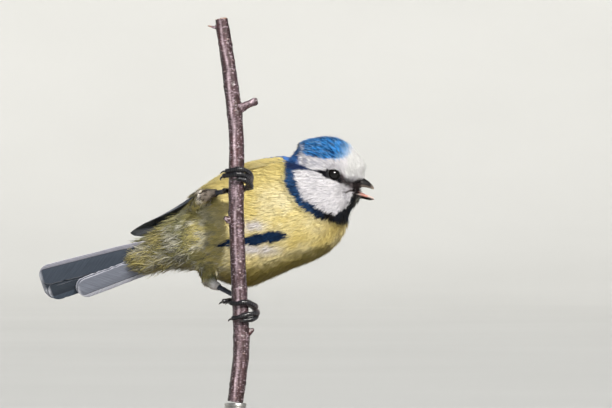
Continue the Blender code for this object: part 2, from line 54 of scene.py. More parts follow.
RNG = np.random.default_rng(20)

# ---------------------------------------------------------------- the same measures as the solids have
UNIT = 0.337
GX0, GZ0 = 267.7, 470.0
TWIG_Y, BODY_Y = -16.0, 8.5
PITCH, ROLL, HEAD_PITCH = math.radians(17), math.radians(22), math.radians(14)


def world(gx, gy, y=0.0):
    return np.array([(gx - GX0) * UNIT, y, (GZ0 - gy) * UNIT])


FORWARD = np.array([math.cos(PITCH), 0, math.sin(PITCH)])
ACROSS = np.array([-math.sin(PITCH), 0, math.cos(PITCH)])
DEPTH = np.array([0.0, 1.0, 0.0])
RIGHT = ACROSS * math.cos(ROLL) - DEPTH * math.sin(ROLL)
DORSAL = ACROSS * math.sin(ROLL) + DEPTH * math.cos(ROLL)
ROOT = world(184, 245, BODY_Y)
HEAD_C = world(326, 179, BODY_Y)
HEAD_F = np.array([math.cos(HEAD_PITCH), 0, -math.sin(HEAD_PITCH)])
HEAD_Z = np.array([math.sin(HEAD_PITCH), 0, math.cos(HEAD_PITCH)])
EYE_F, EYE_Z, EYE_R, EYE_SIDE = 1.84, 1.95, 2.5, 7.5


def body(s, a, c):
    return ROOT + FORWARD * s + RIGHT * a + DORSAL * c


def head(f, side, z):
    return HEAD_C + HEAD_F * f + DEPTH * side + HEAD_Z * z


def ease(low, high, x):
    t = np.clip((np.asarray(x, float) - low) / (high - low), 0, 1)
    return t * t * (3 - 2 * t)


def through(rows, count):
    rows = np.asarray(rows, float)
    padded = np.vstack([2 * rows[0] - rows[1], rows, 2 * rows[-1] - rows[-2]])
    x = np.linspace(0, len(rows) - 1, count)
    i = np.minimum(x.astype(int), len(rows) - 2)
    t = (x - i)[:, None]
    p0, p1, p2, p3 = (padded[i + k] for k in range(4))
    return 0.5 * (2 * p1 + (p2 - p0) * t + (2 * p0 - 5 * p1 + 4 * p2 - p3) * t**2 + (3 * p1 - p0 - 3 * p2 + p3) * t**3)


def unit(v):
    return v / np.maximum(np.linalg.norm(v, axis=-1, keepdims=True), 1e-12)


def noise(points, size, seed=0):
    """Smooth value noise from -1 to 1, with features about size mm across."""
    p = np.asarray(points, float) / size + 1000.0
    base = np.floor(p).astype(np.int64)
    f = p - base
    f = f * f * (3 - 2 * f)
    total = np.zeros(len(p))
    for dx in (0, 1):
        for dy in (0, 1):
            for dz in (0, 1):
                h = ((base[:, 0] + dx) * 73856093) ^ ((base[:, 1] + dy) * 19349663) ^ ((base[:, 2] + dz) * 83492791) ^ (seed * 26544357)
                h = ((h ^ (h >> 13)) * 1274126177) & 0x7FFFFFFF
                h = (h ^ (h >> 15)) & 0xFFFF
                weight = (f[:, 0] if dx else 1 - f[:, 0]) * (f[:, 1] if dy else 1 - f[:, 1]) * (f[:, 2] if dz else 1 - f[:, 2])
                total += weight * h
    return total / 32767.5 - 1


def srgb(r, g, b):
    """A colour given as 0-255 display values, as linear light."""
    c = np.array([r, g, b], float) / 255
    return np.where(c <= 0.04045, c / 12.92, ((c + 0.055) / 1.055) ** 2.4)


def blend(a, b, w):
    w = np.asarray(w)[..., None]
    return a * (1 - w) + b * w


# ---------------------------------------------------------------- meshes
def mesh_from(name, points, quads=None, tris=None):
    mesh = bpy.data.meshes.new(name)
    points = np.asarray(points, float)
    quads = np.zeros((0, 4), int) if quads is None else np.asarray(quads, int)
    tris = np.zeros((0, 3), int) if tris is None else np.asarray(tris, int)
    loops = np.concatenate([quads.ravel(), tris.ravel()]).astype(np.int32)
    starts = np.concatenate([np.arange(len(quads)) * 4, len(quads) * 4 + np.arange(len(tris)) * 3]).astype(np.int32)
    mesh.vertices.add(len(points))
    mesh.vertices.foreach_set("co", (points * MM).astype(np.float32).ravel())
    mesh.loops.add(len(loops))
    mesh.loops.foreach_set("vertex_index", loops)
    mesh.polygons.add(len(starts))
    mesh.polygons.foreach_set("loop_start", starts)
    mesh.polygons.foreach_set("use_smooth", np.ones(len(starts), bool))
    mesh.update(calc_edges=True)
    return mesh


def paint(mesh, colors, name="tint"):
    attribute = mesh.color_attributes.new(name, "FLOAT_COLOR", "POINT")
    rgba = np.ones((len(mesh.vertices), 4), np.float32)
    rgba[:, :3] = colors
    attribute.data.foreach_set("color", rgba.ravel())


def lay_out(mesh, uv, name="OFBake"):
    """A UV map from one place per vertex."""
    layer = mesh.uv_layers.new(name=name)
    index = np.empty(len(mesh.loops), np.int32)
    mesh.loops.foreach_get("vertex_index", index)
    layer.data.foreach_set("uv", uv[index].astype(np.float32).ravel())


def shown(name, mesh, material, replaces=()):
    obj = bpy.data.objects.new(name, mesh)
    bpy.context.scene.collection.objects.link(obj)
    mesh.materials.clear()
    mesh.materials.append(material)
    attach(obj, "root")
    if replaces:
        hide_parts(*replaces)
    return obj


def grid_quads(rows, columns, closed=False):
    """Faces of a grid of rows by columns, its columns joined round if closed."""
    i, j = np.meshgrid(np.arange(rows - 1), np.arange(columns if closed else columns - 1), indexing="ij")
    k = (j + 1) % columns
    return np.stack([i * columns + j, i * columns + k, (i + 1) * columns + k, (i + 1) * columns + j], -1).reshape(-1, 4)


def tube_mesh(path, radii, around=16, ripple=None, squash=1.0):
    """Points, quads and triangles of a closed tube along path. ripple(t, turn) scales the radius."""
    path, radii = np.asarray(path, float), np.asarray(radii, float)
    n = len(path)
    along = unit(np.gradient(path, axis=0))
    side = np.cross(along[0], [0.31, 0.2, 0.93])
    side /= np.linalg.norm(side)
    sides = [side]
    for d in along[1:]:
        side = sides[-1] - d * (sides[-1] @ d)
        sides.append(side / np.linalg.norm(side))
    sides = np.array(sides)
    ups = np.cross(along, sides)
    turn = np.linspace(0, 2 * math.pi, around, endpoint=False)
    t = np.linspace(0, 1, n)
    scale = np.ones((n, around)) if ripple is None else ripple(t[:, None], turn[None, :])
    r = radii[:, None] * scale
    points = path[:, None] + sides[:, None] * (r * np.cos(turn))[..., None] + ups[:, None] * (r * np.sin(turn) * squash)[..., None]
    points = np.concatenate([points.reshape(-1, 3), path[:1], path[-1:]])
    quads = grid_quads(n, around, True)[:, ::-1]
    j = np.arange(around)
    k = (j + 1) % around
    first = np.stack([np.full(around, n * around), j, k], -1)
    last = np.stack([np.full(around, n * around + 1), (n - 1) * around + k, (n - 1) * around + j], -1)
    return points, quads, np.concatenate([first, last])[:, ::-1]


def outward(mesh):
    """Faces turned outwards on closed pieces."""
    bm = bmesh.new()
    bm.from_mesh(mesh)
    bmesh.ops.recalc_face_normals(bm, faces=bm.faces)
    bm.to_mesh(mesh)
    bm.free()
    return mesh


def joined(parts):
    """Several (points, quads, tris) as one."""
    points, quads, tris, n = [], [], [], 0
    for p, q, t in parts:
        points.append(p)
        quads.append(np.asarray(q, int).reshape(-1, 4) + n)
        tris.append(np.asarray(t, int).reshape(-1, 3) + n)
        n += len(p)
    return np.concatenate(points), np.concatenate(quads), np.concatenate(tris)


def melted(mesh, voxel, rounds):
    """The mesh voxel-remeshed at voxel mm and smoothed."""
    obj = bpy.data.objects.new("melting", mesh)
    bpy.context.scene.collection.objects.link(obj)
    melt = obj.modifiers.new("melt", "REMESH")
    melt.mode = "VOXEL"
    melt.voxel_size = voxel * MM
    if rounds:
        soft = obj.modifiers.new("soft", "SMOOTH")
        soft.factor, soft.iterations = 0.5, rounds
    graph = bpy.context.evaluated_depsgraph_get()
    graph.update()
    made = bpy.data.meshes.new_from_object(obj.evaluated_get(graph))
    bpy.data.objects.remove(obj, do_unlink=True)
    return made


def read(mesh):
    """(points in mm, normals) of a mesh's vertices."""
    points = np.empty(len(mesh.vertices) * 3, np.float32)
    normals = np.empty(len(mesh.vertices) * 3, np.float32)
    mesh.vertices.foreach_get("co", points)
    mesh.vertices.foreach_get("normal", normals)
    return points.reshape(-1, 3).astype(float) / MM, normals.reshape(-1, 3).astype(float)


def write(mesh, points):
    mesh.vertices.foreach_set("co", (points * MM).astype(np.float32).ravel())
    mesh.update()


# ---------------------------------------------------------------- materials
class Nodes:
    """A short way to lay out a material's nodes."""

    def __init__(self, name, roughness=0.6, **shader):
        self.material = bpy.data.materials.new(name)
        self.material.use_nodes = True
        self.tree = self.material.node_tree
        self.shader = self.tree.nodes["Principled BSDF"]
        self.shader.inputs["Roughness"].default_value = roughness
        for key, value in shader.items():
            self.shader.inputs[key.replace("_", " ").title().replace("Ior", "IOR")].default_value = value

    def add(self, kind, inputs=None, **settings):
        node = self.tree.nodes.new(kind)
        for key, value in settings.items():
            setattr(node, key, value)
        for key, value in (inputs or {}).items():
            if isinstance(value, bpy.types.NodeSocket):
                self.tree.links.new(value, node.inputs[key])
            else:
                node.inputs[key].default_value = value
        return node

    def place(self):
        return self.add("ShaderNodeTexCoord").outputs["Object"]

    def stretched(self, vector, scale, rotation=(0, 0, 0)):
        return self.add("ShaderNodeMapping", {"Vector": vector, "Scale": scale, "Rotation": rotation}).outputs["Vector"]

    def noise(self, vector, scale, detail=4.0, rough=0.55):
        return self.add("ShaderNodeTexNoise", {"Vector": vector, "Scale": scale, "Detail": detail, "Roughness": rough}).outputs["Fac"]

    def ramp(self, value, stops):
        node = self.add("ShaderNodeValToRGB", {"Fac": value})
        band = node.color_ramp
        while len(band.elements) < len(stops):
            band.elements.new(0.5)
        for element, (at, color) in zip(band.elements, stops):
            element.position = at
            element.color = (*color, 1) if len(color) == 3 else color
        return node.outputs["Color"]

    def mix(self, a, b, factor, how="MIX"):
        node = self.add("ShaderNodeMix", data_type="RGBA", blend_type=how)
        for socket, value in ((0, factor), (6, a), (7, b)):
            if isinstance(value, bpy.types.NodeSocket):
                self.tree.links.new(value, node.inputs[socket])
            else:
                node.inputs[socket].default_value = value if socket == 0 else (*value, 1)
        return node.outputs[2]

    def math(self, how, a, b=0.5):
        node = self.add("ShaderNodeMath", operation=how)
        for i, value in enumerate((a, b)):
            if isinstance(value, bpy.types.NodeSocket):
                self.tree.links.new(value, node.inputs[i])
            else:
                node.inputs[i].default_value = value
        return node.outputs[0]

    def tint(self, name="tint"):
        return self.add("ShaderNodeAttribute", attribute_name=name).outputs["Color"]

    def color(self, socket):
        self.tree.links.new(socket, self.shader.inputs["Base Color"])

    def rough(self, socket):
        self.tree.links.new(socket, self.shader.inputs["Roughness"])

    def bump(self, height, strength, distance):
        node = self.add("ShaderNodeBump", {"Height": height, "Strength": strength, "Distance": distance})
        self.tree.links.new(node.outputs["Normal"], self.shader.inputs["Normal"])


# ---------------------------------------------------------------- stage, light and camera
def make_stage():
    """A pale floor that turns up into a wall all round, far out."""
    profile = [(0.0, 0.0), (0.4, 0.0), (1.2, 0.0), (2.5, 0.0), (3.8, 0.0)]
    for turn in np.linspace(0, math.pi / 2, 12)[1:]:
        profile.append((3.8 + 2.0 * math.sin(turn), 2.0 * (1 - math.cos(turn))))
    profile.append((5.8, 3.0))
    around = 96
    turn = np.linspace(0, 2 * math.pi, around, endpoint=False)
    points = np.array([[r * math.cos(a), r * math.sin(a), z] for r, z in profile[1:] for a in turn]) / MM
    points = np.concatenate([points, [[0, 0, 0]]])
    j = np.arange(around)
    middle = np.stack([np.full(around, len(points) - 1), j, (j + 1) % around], -1)
    mesh = mesh_from("floor", points, grid_quads(len(profile) - 1, around, True)[:, ::-1], middle)
    made = Nodes("floor_paint", roughness=0.9, specular_ior_level=0.2)
    tone = made.ramp(made.noise(made.place(), 3.0, 3.0), [(0.3, (0.52, 0.525, 0.52)), (0.7, (0.545, 0.55, 0.545))])
    made.color(tone)
    floor = bpy.data.objects.new("floor", mesh)
    bpy.context.scene.collection.objects.link(floor)
    mesh.materials.append(made.material)


def make_lights():
    scene = bpy.context.scene
    sky = bpy.data.worlds.new("studio")
    sky.use_nodes = True
    sky.node_tree.nodes["Background"].inputs["Color"].default_value = (0.90, 0.95, 1.0, 1)
    sky.node_tree.nodes["Background"].inputs["Strength"].default_value = 0.28
    scene.world = sky
    key = bpy.data.lights.new("key", "SUN")
    key.energy, key.angle, key.color = 4.5, math.radians(5), (1.0, 0.965, 0.90)
    obj = bpy.data.objects.new("key", key)
    scene.collection.objects.link(obj)
    obj.rotation_mode = "QUATERNION"
    obj.rotation_quaternion = Vector((0.50, -0.74, 0.60)).to_track_quat("Z", "Y")
    # a softbox about the key that only shows as a reflection
    catch = bpy.data.lights.new("catch", "SUN")
    catch.energy, catch.angle, catch.color = 3.4, math.radians(22), (1.0, 0.97, 0.94)
    obj = bpy.data.objects.new("catch", catch)
    scene.collection.objects.link(obj)
    obj.rotation_mode = "QUATERNION"
    obj.rotation_quaternion = Vector((0.50, -0.74, 0.60)).to_track_quat("Z", "Y")
    obj.visible_diffuse = False
    back = bpy.data.lights.new("back", "SUN")
    back.energy, back.angle, back.color = 0.75, math.radians(45), (0.93, 0.96, 1.0)
    obj = bpy.data.objects.new("back", back)
    scene.collection.objects.link(obj)
    obj.rotation_mode = "QUATERNION"
    obj.rotation_quaternion = Vector((-0.45, 0.80, 0.45)).to_track_quat("Z", "Y")
    obj.visible_glossy = False
    fill = bpy.data.lights.new("fill", "AREA")
    fill.shape, fill.size, fill.energy, fill.color = "DISK", 0.9, 2.0, (0.92, 0.96, 1.0)
    obj = bpy.data.objects.new("fill", fill)
    scene.collection.objects.link(obj)
    obj.location = (-0.9, -1.0, 0.5)
    obj.rotation_mode = "QUATERNION"
    obj.rotation_quaternion = Vector((-0.9, -1.0, 0.4)).to_track_quat("Z", "Y")
    obj.visible_camera = False
    obj.visible_glossy = False


def make_camera():
    camera = bpy.data.cameras.new("camera")
    camera.type, camera.sensor_width = "PERSP", 36.0
    away = 2.30
    camera.lens = 36.0 * (away + BODY_Y * MM) / (612 * UNIT * MM)
    camera.clip_start, camera.clip_end = 0.05, 20.0
    camera.dof.use_dof = False
    obj = bpy.data.objects.new("camera", camera)
    bpy.context.scene.collection.objects.link(obj)
    obj.location = ((306 - GX0) * UNIT * MM, -away, (GZ0 - 204) * UNIT * MM)
    obj.rotation_euler = (math.pi / 2, 0, 0)
    bpy.context.scene.camera = obj


make_stage()
make_lights()
make_camera()
bpy.context.scene.view_settings.view_transform = "Standard"

# ---------------------------------------------------------------- markings
# Outlines on the side elevation (grid units), the same through the depth, as the head is alike on both sides.
HEAD_ZONE = ((301, 146.5), (293, 156), (288.4, 160), (285.7, 172), (286.4, 185), (290.7, 193.5), (296.8, 202.6),
             (303.7, 209.5), (312.8, 215.6), (322, 218.9), (331, 221.4), (339, 223), (347, 221.6), (353, 217.5),
             (357.5, 209), (362, 202), (386, 200), (386, 118), (296, 118))
WHITE_ZONE = ((303.5, 151.5), (300.4, 157), (298.4, 162.5), (296, 166.5), (294.8, 171), (295.8, 181), (299, 191), (303.7, 199.6), (312.8, 206),
              (323.5, 211.6), (334, 213.2), (342.5, 210), (347.6, 204), (351.5, 198.5), (353, 193.5), (386, 193), (386, 118),
              (304, 118), (304, 140))
CAP_ZONE = ((304, 118), (302.5, 141), (306, 149.5), (304.5, 153.8), (311, 157.2), (323.6, 159.8), (335, 160.8), (345, 158.8),
            (351, 153), (357, 147), (357, 118))
EYE_LINE = ((290, 167.5, 3.4), (300, 168, 2.9), (306, 168.6, 1.9), (310.5, 170.2, 0.8), (317, 171.8, 0.95), (323, 172.6, 2.2),
            (328.5, 174.2, 4.6), (333.5, 175.2, 5.6), (339, 178.6, 4.4), (345, 182, 3.6), (351, 184.6, 3.5), (358, 186, 3.4))
BELLY_LINE = ((220, 244, 0.8), (232, 242, 2.8), (245, 240.2, 3.7), (255, 239, 4.2), (263, 237, 5.1), (272, 235.2, 5.6), (279, 234.4, 5.2), (285, 234.2, 3.9))
GAPE_LINE = ((343.2, 192.8, 0.35), (348.5, 191, 0.8), (354, 190.2, 1.1))

CAP_BLUE, CAP_DEEP, CAP_PALE = srgb(62, 148, 224), srgb(8, 40, 90), srgb(154, 202, 244)
COLLAR_BLUE, COLLAR_DARK = srgb(44, 80, 126), srgb(9, 14, 24)
LINE_BLUE, LINE_DARK = srgb(36, 54, 96), srgb(20, 20, 28)
WHITE, SMOKE = srgb(241, 239, 243), srgb(206, 205, 214)
YELLOW, BRIGHT, OLIVE = srgb(226, 208, 134), srgb(238, 228, 188), srgb(156, 132, 60)
CREAM, ASH, MOSS = srgb(228, 224, 208), srgb(104, 104, 94), srgb(138, 137, 92)
MANTLE, RUMP, STRIPE = srgb(112, 126, 94), srgb(140, 144, 82), srgb(16, 40, 70)
THIGH_PALE, THIGH_DARK, GAPE = srgb(232, 224, 218), srgb(84, 74, 68), srgb(96, 34, 26)
LEGS = {"right": (world(193, 214, 5.0), world(207, 194.5, -3.6)), "left": (world(205, 262, 7.0), world(213, 283.5, -2.6))}


def outline_distance(outline, x, y):
    """Distance from a closed outline, negative inside it."""
    outline = np.asarray(outline, float)
    inside, best = np.zeros(len(x), bool), np.full(len(x), 1e9)
    for (x0, y0), (x1, y1) in zip(outline, np.roll(outline, -1, 0)):
        dx, dy = x1 - x0, y1 - y0
        t = np.clip(((x - x0) * dx + (y - y0) * dy) / (dx * dx + dy * dy), 0, 1)
        best = np.minimum(best, (x - x0 - t * dx) ** 2 + (y - y0 - t * dy) ** 2)
        if dy:
            inside ^= ((y0 > y) != (y1 > y)) & (x < dx * (y - y0) / dy + x0)
    return np.where(inside, -1, 1) * np.sqrt(best)


def line_distance(line, x, y):
    """Distance from a line that has a half width at each point, negative within it."""
    best = np.full(len(x), 1e9)
    for (x0, y0, r0), (x1, y1, r1) in zip(line, line[1:]):
        dx, dy = x1 - x0, y1 - y0
        t = np.clip(((x - x0) * dx + (y - y0) * dy) / (dx * dx + dy * dy), 0, 1)
        best = np.minimum(best, np.hypot(x - x0 - t * dx, y - y0 - t * dy) - (r0 + (r1 - r0) * t))
    return best


def on_grid(points):
    return points[:, 0] / UNIT + GX0, GZ0 - points[:, 2] / UNIT


def in_body(points):
    d = points - ROOT
    return d @ FORWARD, d @ RIGHT, d @ DORSAL


def in_head(points):
    d = points - HEAD_C
    return d @ HEAD_F, d @ DEPTH, d @ HEAD_Z


def leg_share(points):
    """(share 0-1 of the nearer leg tuft, place 0-1 down it, direction down it)."""
    share, down, way = np.zeros(len(points)), np.zeros(len(points)), np.tile(-FORWARD, (len(points), 1))
    for knee, heel in LEGS.values():
        axis = heel - knee
        t = np.clip((points - knee) @ axis / (axis @ axis), 0, 1.08)
        off = np.linalg.norm(points - knee - t[:, None] * axis, axis=1)
        near = (1 - ease(3.4 - 1.6 * t, 4.8 - 1.8 * t, off)) * ease(0.22, 0.5, t)
        better = near > share
        share[better], down[better] = near[better], t[better]
        way[better] = unit(axis)
    return share, down, way


def plumage(points):
    """The colour of the plumage at points, in linear light."""
    wobble = np.stack([noise(points, 1.1, 1), noise(points, 1.1, 2)], 1) * 0.8
    gx, gy = on_grid(points)
    gx, gy = gx + wobble[:, 0], gy + wobble[:, 1]
    s, a, c = in_body(points)
    round_ = np.degrees(np.arctan2(np.abs(a), -c))  # 0 at the belly's middle, 180 along the back
    broad, fine, streak = noise(points, 6, 3), noise(points, 1.6, 4), noise(points, 0.7, 5)
    ray = points - world(354, 187, BODY_Y)
    far = np.linalg.norm(ray, axis=1, keepdims=True)
    lines = ray / np.maximum(far, 1e-6) * 26 + far * 0.2  # changes quickly across the lie and slowly along it

    # underparts: yellow, paler in the middle of the breast, mossy and ashy towards the vent
    color = blend(np.tile(YELLOW, (len(points), 1)), BRIGHT, np.clip(0.35 + 0.55 * broad + 0.25 * fine, 0, 1) * (1 - ease(40, 95, round_)) * ease(8, 24, s))
    deep = ease(38, 54, s) * (1 - ease(-5, 5, a)) * np.clip(0.7 + 0.6 * fine, 0, 1)
    color = blend(color, OLIVE, deep * 0.8)
    under = c < 4
    pale = np.exp(-(((gx - 254) / 13) ** 2) - (((gy - 225.5) / 6) ** 2)) * 1.15 + np.exp(-(((gx - 258) / 19) ** 2) - (((gy - 247.5) / 5) ** 2)) * 1.5
    color = blend(color, srgb(222, 217, 218), np.clip(pale * (0.85 + 0.6 * fine), 0, 0.95) * under)
    rear = 1 - ease(2, 20, s)
    color = blend(color, MOSS, rear * np.clip(0.72 + 0.5 * broad, 0, 1))
    color = blend(color, CREAM, rear * np.clip(1.5 * fine + 0.25 + 0.5 * broad, 0, 0.85) * (1 - ease(70, 110, round_)))
    color = blend(color, ASH, rear * np.clip(1.9 * streak - 0.1 + 0.4 * fine, 0, 0.9) * (1 - ease(70, 110, round_)))
    color = color * (1 - 0.28 * (1 - ease(-8, 6, s)) * (1 - ease(80, 120, round_)))[:, None]
    # painted shade in the crease between the thigh and the flank, on the near side only
    fold = line_distance(((183, 238, 0.3), (192, 221, 1.2), (203, 208.5, 1.7), (216, 201, 1.4), (224, 197, 0.4)), gx + 2.4 * fine, gy + 1.6 * streak)
    color = blend(color, color * np.array([0.42, 0.42, 0.36]), (1 - ease(-0.6, 2.2, fold)) * (points[:, 1] < BODY_Y) * 0.85)
    # painted shade: the underside, below the flanks, is darkened and browned
    underside_painted_shade = ease(11.2, 15.2, -((points - ROOT) @ ACROSS) + 1.6 * fine) * ease(2, 14, s) * (1 - ease(58, 66, s))
    color = blend(color, color * np.array([0.31, 0.29, 0.14]), underside_painted_shade)
    # dark stripe along the belly
    edge = line_distance(BELLY_LINE, gx, gy) + 1.5 * fine + 1.2 * streak
    navy = blend(np.tile(STRIPE, (len(points), 1)), STRIPE * 2.2, np.clip(streak, 0, 1) * 0.6)
    color = blend(color, navy, (1 - ease(-0.8, 1.0, edge)) * under)
    # upperparts
    back = ease(112, 134, round_ + 7 * fine)
    upper = blend(np.tile(MANTLE, (len(points), 1)), RUMP, (1 - ease(-2, 16, s)) * 0.9)
    upper = blend(upper, upper * 0.75, np.clip(fine, 0, 1))
    color = blend(color, upper, back)
    # legs
    share, down, _ = leg_share(points)
    brown = (gy < 240)
    tuft = blend(np.tile(THIGH_PALE, (len(points), 1)), THIGH_DARK, np.clip(2.2 * streak + 1.0 * fine + 0.35 * brown, 0, 0.85) * np.where(brown, 1, 0.3))
    color = blend(color, tuft, share * np.where(brown, ease(0.55, 0.85, down), ease(0.8, 1.0, down)))

    # head: collar, white face, cap, eye line
    zone = outline_distance(HEAD_ZONE, gx, gy)
    in_zone = 1 - ease(-0.6, 0.6, zone + 1.3 * noise(points, 0.6, 16))
    collar = blend(np.tile(COLLAR_BLUE, (len(points), 1)), COLLAR_DARK, ease(296, 334, gx + 0.35 * (gy - 200)) + 0.12 * fine)
    collar = blend(collar, collar * 1.6, np.clip(2.2 * noise(lines, 0.5, 22), 0, 1) * 0.7)
    collar = blend(collar, collar * 0.45, np.clip(-2.2 * noise(lines, 0.5, 22), 0, 1) * 0.8)
    jag = 2.0 * noise(points, 0.55, 15) * ease(188, 200, gy)
    face = outline_distance(WHITE_ZONE, gx, gy) + jag
    white = blend(np.tile(WHITE, (len(points), 1)), SMOKE, np.clip(0.2 + 0.8 * fine, 0, 1) * 0.4)
    brow = (1 - ease(312, 338, gx)) * (1 - ease(166, 170, gy)) * np.clip(0.75 + 0.9 * streak, 0, 1)
    white = blend(white, srgb(150, 152, 172), brow * 0.75 * np.clip(0.55 + 1.5 * noise(lines, 0.5, 18), 0, 1.2))
    white = blend(white, srgb(188, 186, 196), np.clip(1.6 * noise(lines, 0.7, 19) - 0.35, 0, 0.5) * (1 - ease(330, 345, gx) * (1 - ease(168, 174, gy))))
    white = np.minimum(white * (1 + 0.25 * ease(340, 354, gx) * (1 - ease(174, 182, gy)))[:, None], 0.93)
    inner = blend(collar, white, 1 - ease(-0.5, 0.5, face))
    cap = outline_distance(CAP_ZONE, gx, gy)
    blue = blend(np.tile(CAP_BLUE, (len(points), 1)), CAP_DEEP, np.clip(0.20 + 3.2 * noise(lines, 0.5, 17) + 0.3 * fine, 0, 0.97))
    blue = blend(blue, CAP_PALE, np.clip(1.7 * noise(lines, 0.6, 9) - 0.45, 0, 0.7))
    front = ease(337, 350, gx + 0.25 * (gy - 150) + 3.0 * fine)
    blue = blend(blue, CAP_PALE, front * 0.9)
    blue = blend(blue, WHITE, ease(344.5, 355, gx + 0.35 * (gy - 150) + 2 * streak))
    inner = blend(inner, blue, 1 - ease(-0.7, 0.7, cap))
    behind = (1 - ease(298, 302.5, gx)) * (1 - ease(164, 174, gy))
    inner = blend(inner, blend(srgb(58, 112, 184) * np.ones((len(points), 1)), CAP_DEEP, np.clip(0.2 + 1.6 * noise(lines, 0.5, 20), 0, 0.8)), behind * 0.9)
    nape = np.exp(-(((gx - 303.5) / 3.2) ** 2) - ((gy - 148.5) / 4.2) ** 2)
    inner = blend(inner, srgb(150, 170, 200), nape * 0.85 * np.clip(0.8 + 1.2 * noise(lines, 0.5, 21), 0.2, 1))
    line = line_distance(EYE_LINE, gx, gy)
    dark = blend(np.tile(LINE_BLUE, (len(points), 1)), LINE_DARK, ease(303, 322, gx))
    lore = ease(338, 345, gx)
    dark = blend(dark, srgb(168, 146, 150), lore * np.clip(2.0 * noise(lines, 0.45, 23) + 0.9 * fine, 0, 1) * 0.6 * (1 - ease(353, 357, gx)))
    inner = blend(inner, dark, 1 - ease(-0.7 - 1.6 * lore, 0.6 + 1.4 * lore, line + 1.3 * lore * streak))
    gape = line_distance(GAPE_LINE, gx, gy)
    inner = blend(inner, srgb(52, 26, 26), 1 - ease(-0.4, 0.5, gape))
    chin = ease(353, 358, gx) * ease(196, 199, gy) * np.clip(1.6 * streak, 0, 1)
    inner = blend(inner, srgb(180, 180, 170), chin * 0.7)
    return blend(color, inner, in_zone)


# ---------------------------------------------------------------- skin
def coat_depth(points):
    """How far the skin lies under the outline of the plumage."""
    depth = 0.55 + 0.72 * ease(11.5, 17, np.linalg.norm(points - HEAD_C, axis=1))
    near = 1 - ease(2.6, 7.5, np.linalg.norm(points - world(353, 188.5, BODY_Y), axis=1))
    depth = depth * (1 - near) + 0.12 * near
    f, side, z = in_head(points)
    near = (1 - ease(2.8, 4.4, np.hypot(f - EYE_F, z - EYE_Z))) * (np.abs(side) > 4)
    depth = depth * (1 - near) + 0.46 * near
    share, down, _ = leg_share(points)
    depth = depth * (1 - share) + (0.7 + 0.55 * ease(0.45, 0.9, down)) * share
    s, _, _ = in_body(points)
    thin = 1 - ease(-20, -11, s)
    return depth * (1 - thin) + 0.45 * thin


GROWN = 0.32


def make_skin_mesh():
    whole = bmesh.new()
    for name in ("head", "neck", "trunk", "thigh_right", "thigh_left"):
        part = bmesh.new()
        part.from_mesh(NODES[name].data)
        bmesh.ops.remove_doubles(part, verts=part.verts, dist=1e-6)
        part.normal_update()
        for vertex in part.verts:
            vertex.co += vertex.normal * GROWN * MM
        mesh = bpy.data.meshes.new("part")
        part.to_mesh(mesh)
        part.free()
        whole.from_mesh(mesh)
        bpy.data.meshes.remove(mesh)
    mesh = bpy.data.meshes.new("skin_raw")
    whole.to_mesh(mesh)
    whole.free()
    mesh = melted(mesh, 0.42, 5)
    points, normals = read(mesh)
    points = points - normals * (coat_depth(points) + GROWN)[:, None]
    # the face narrows into the bill, and is hollowed out behind it
    gx, gy = on_grid(points)
    side = points[:, 1] - BODY_Y
    limit = np.interp(gx, [322, 330, 337, 343, 349, 353, 357, 366], [20, 12.5, 9.6, 7.4, 5.0, 3.4, 2.4, 2.1])
    share = ease(176, 184, gy) * (1 - ease(199, 208, gy))
    squeeze = np.minimum(1, limit / np.maximum(np.abs(side), 1e-6))
    side = side * (1 + (squeeze - 1) * share)
    front = np.interp(gy, [170, 174, 177, 179.5, 183, 188, 193, 197, 201, 207], [370, 369, 365.5, 360, 358, 356.5, 355, 358, 363, 367])
    over = np.maximum(gx - front, 0) * (1 - ease(3.0, 4.4, np.abs(side)))
    points = np.stack([points[:, 0] - over * UNIT * 0.96, BODY_Y + side, points[:, 2]], 1)
    # fuller at the back of the crown and at the forehead
    full = 1.15 * np.exp(-(((gx - 303) / 8) ** 2) - (((gy - 143) / 7) ** 2)) + 0.75 * np.exp(-(((gx - 362) / 7) ** 2) - (((gy - 167) / 7) ** 2))
    points = points + normals * full[:, None]
    write(mesh, points)
    return mesh


def make_skin():
    mesh = make_skin_mesh()
    points, normals = read(mesh)
    color = plumage(points) * 0.8
    gx, gy = on_grid(points)
    mouth = (gx > 350) & (np.abs(points[:, 1] - BODY_Y) < 2.6) & (gy > 186) & (gy < 192.5) & (normals[:, 0] > 0.2)
    around = (gx > 351.8) & (np.abs(points[:, 1] - BODY_Y) < 3.9) & (gy > 178.5) & (gy < 199) & ~mouth
    color[around] = srgb(44, 36, 38)
    color[mouth] = GAPE
    paint(mesh, color)
    made = Nodes("skin_down", roughness=0.9, sheen_weight=0.15)
    place = made.place()
    made.color(made.mix(made.tint(), made.ramp(made.noise(place, 900, 5), [(0.3, (0.75, 0.75, 0.75)), (0.7, (1, 1, 1))]), 1.0, "MULTIPLY"))
    made.bump(made.noise(place, 1400, 4), 0.5, 0.0002)
    shown("skin", mesh, made.material, ("head", "neck", "trunk", "thigh_right", "thigh_left"))
    return mesh


SKIN = make_skin()
SKIN_POINTS, SKIN_NORMALS = read(SKIN)
SKIN.calc_loop_triangles()
SKIN_TRIS = np.empty(len(SKIN.loop_triangles) * 3, np.int32)
SKIN.loop_triangles.foreach_get("vertices", SKIN_TRIS)
SKIN_TRIS = SKIN_TRIS.reshape(-1, 3)
TREE = BVHTree.FromPolygons((SKIN_POINTS).tolist(), SKIN_TRIS.tolist(), all_triangles=True)


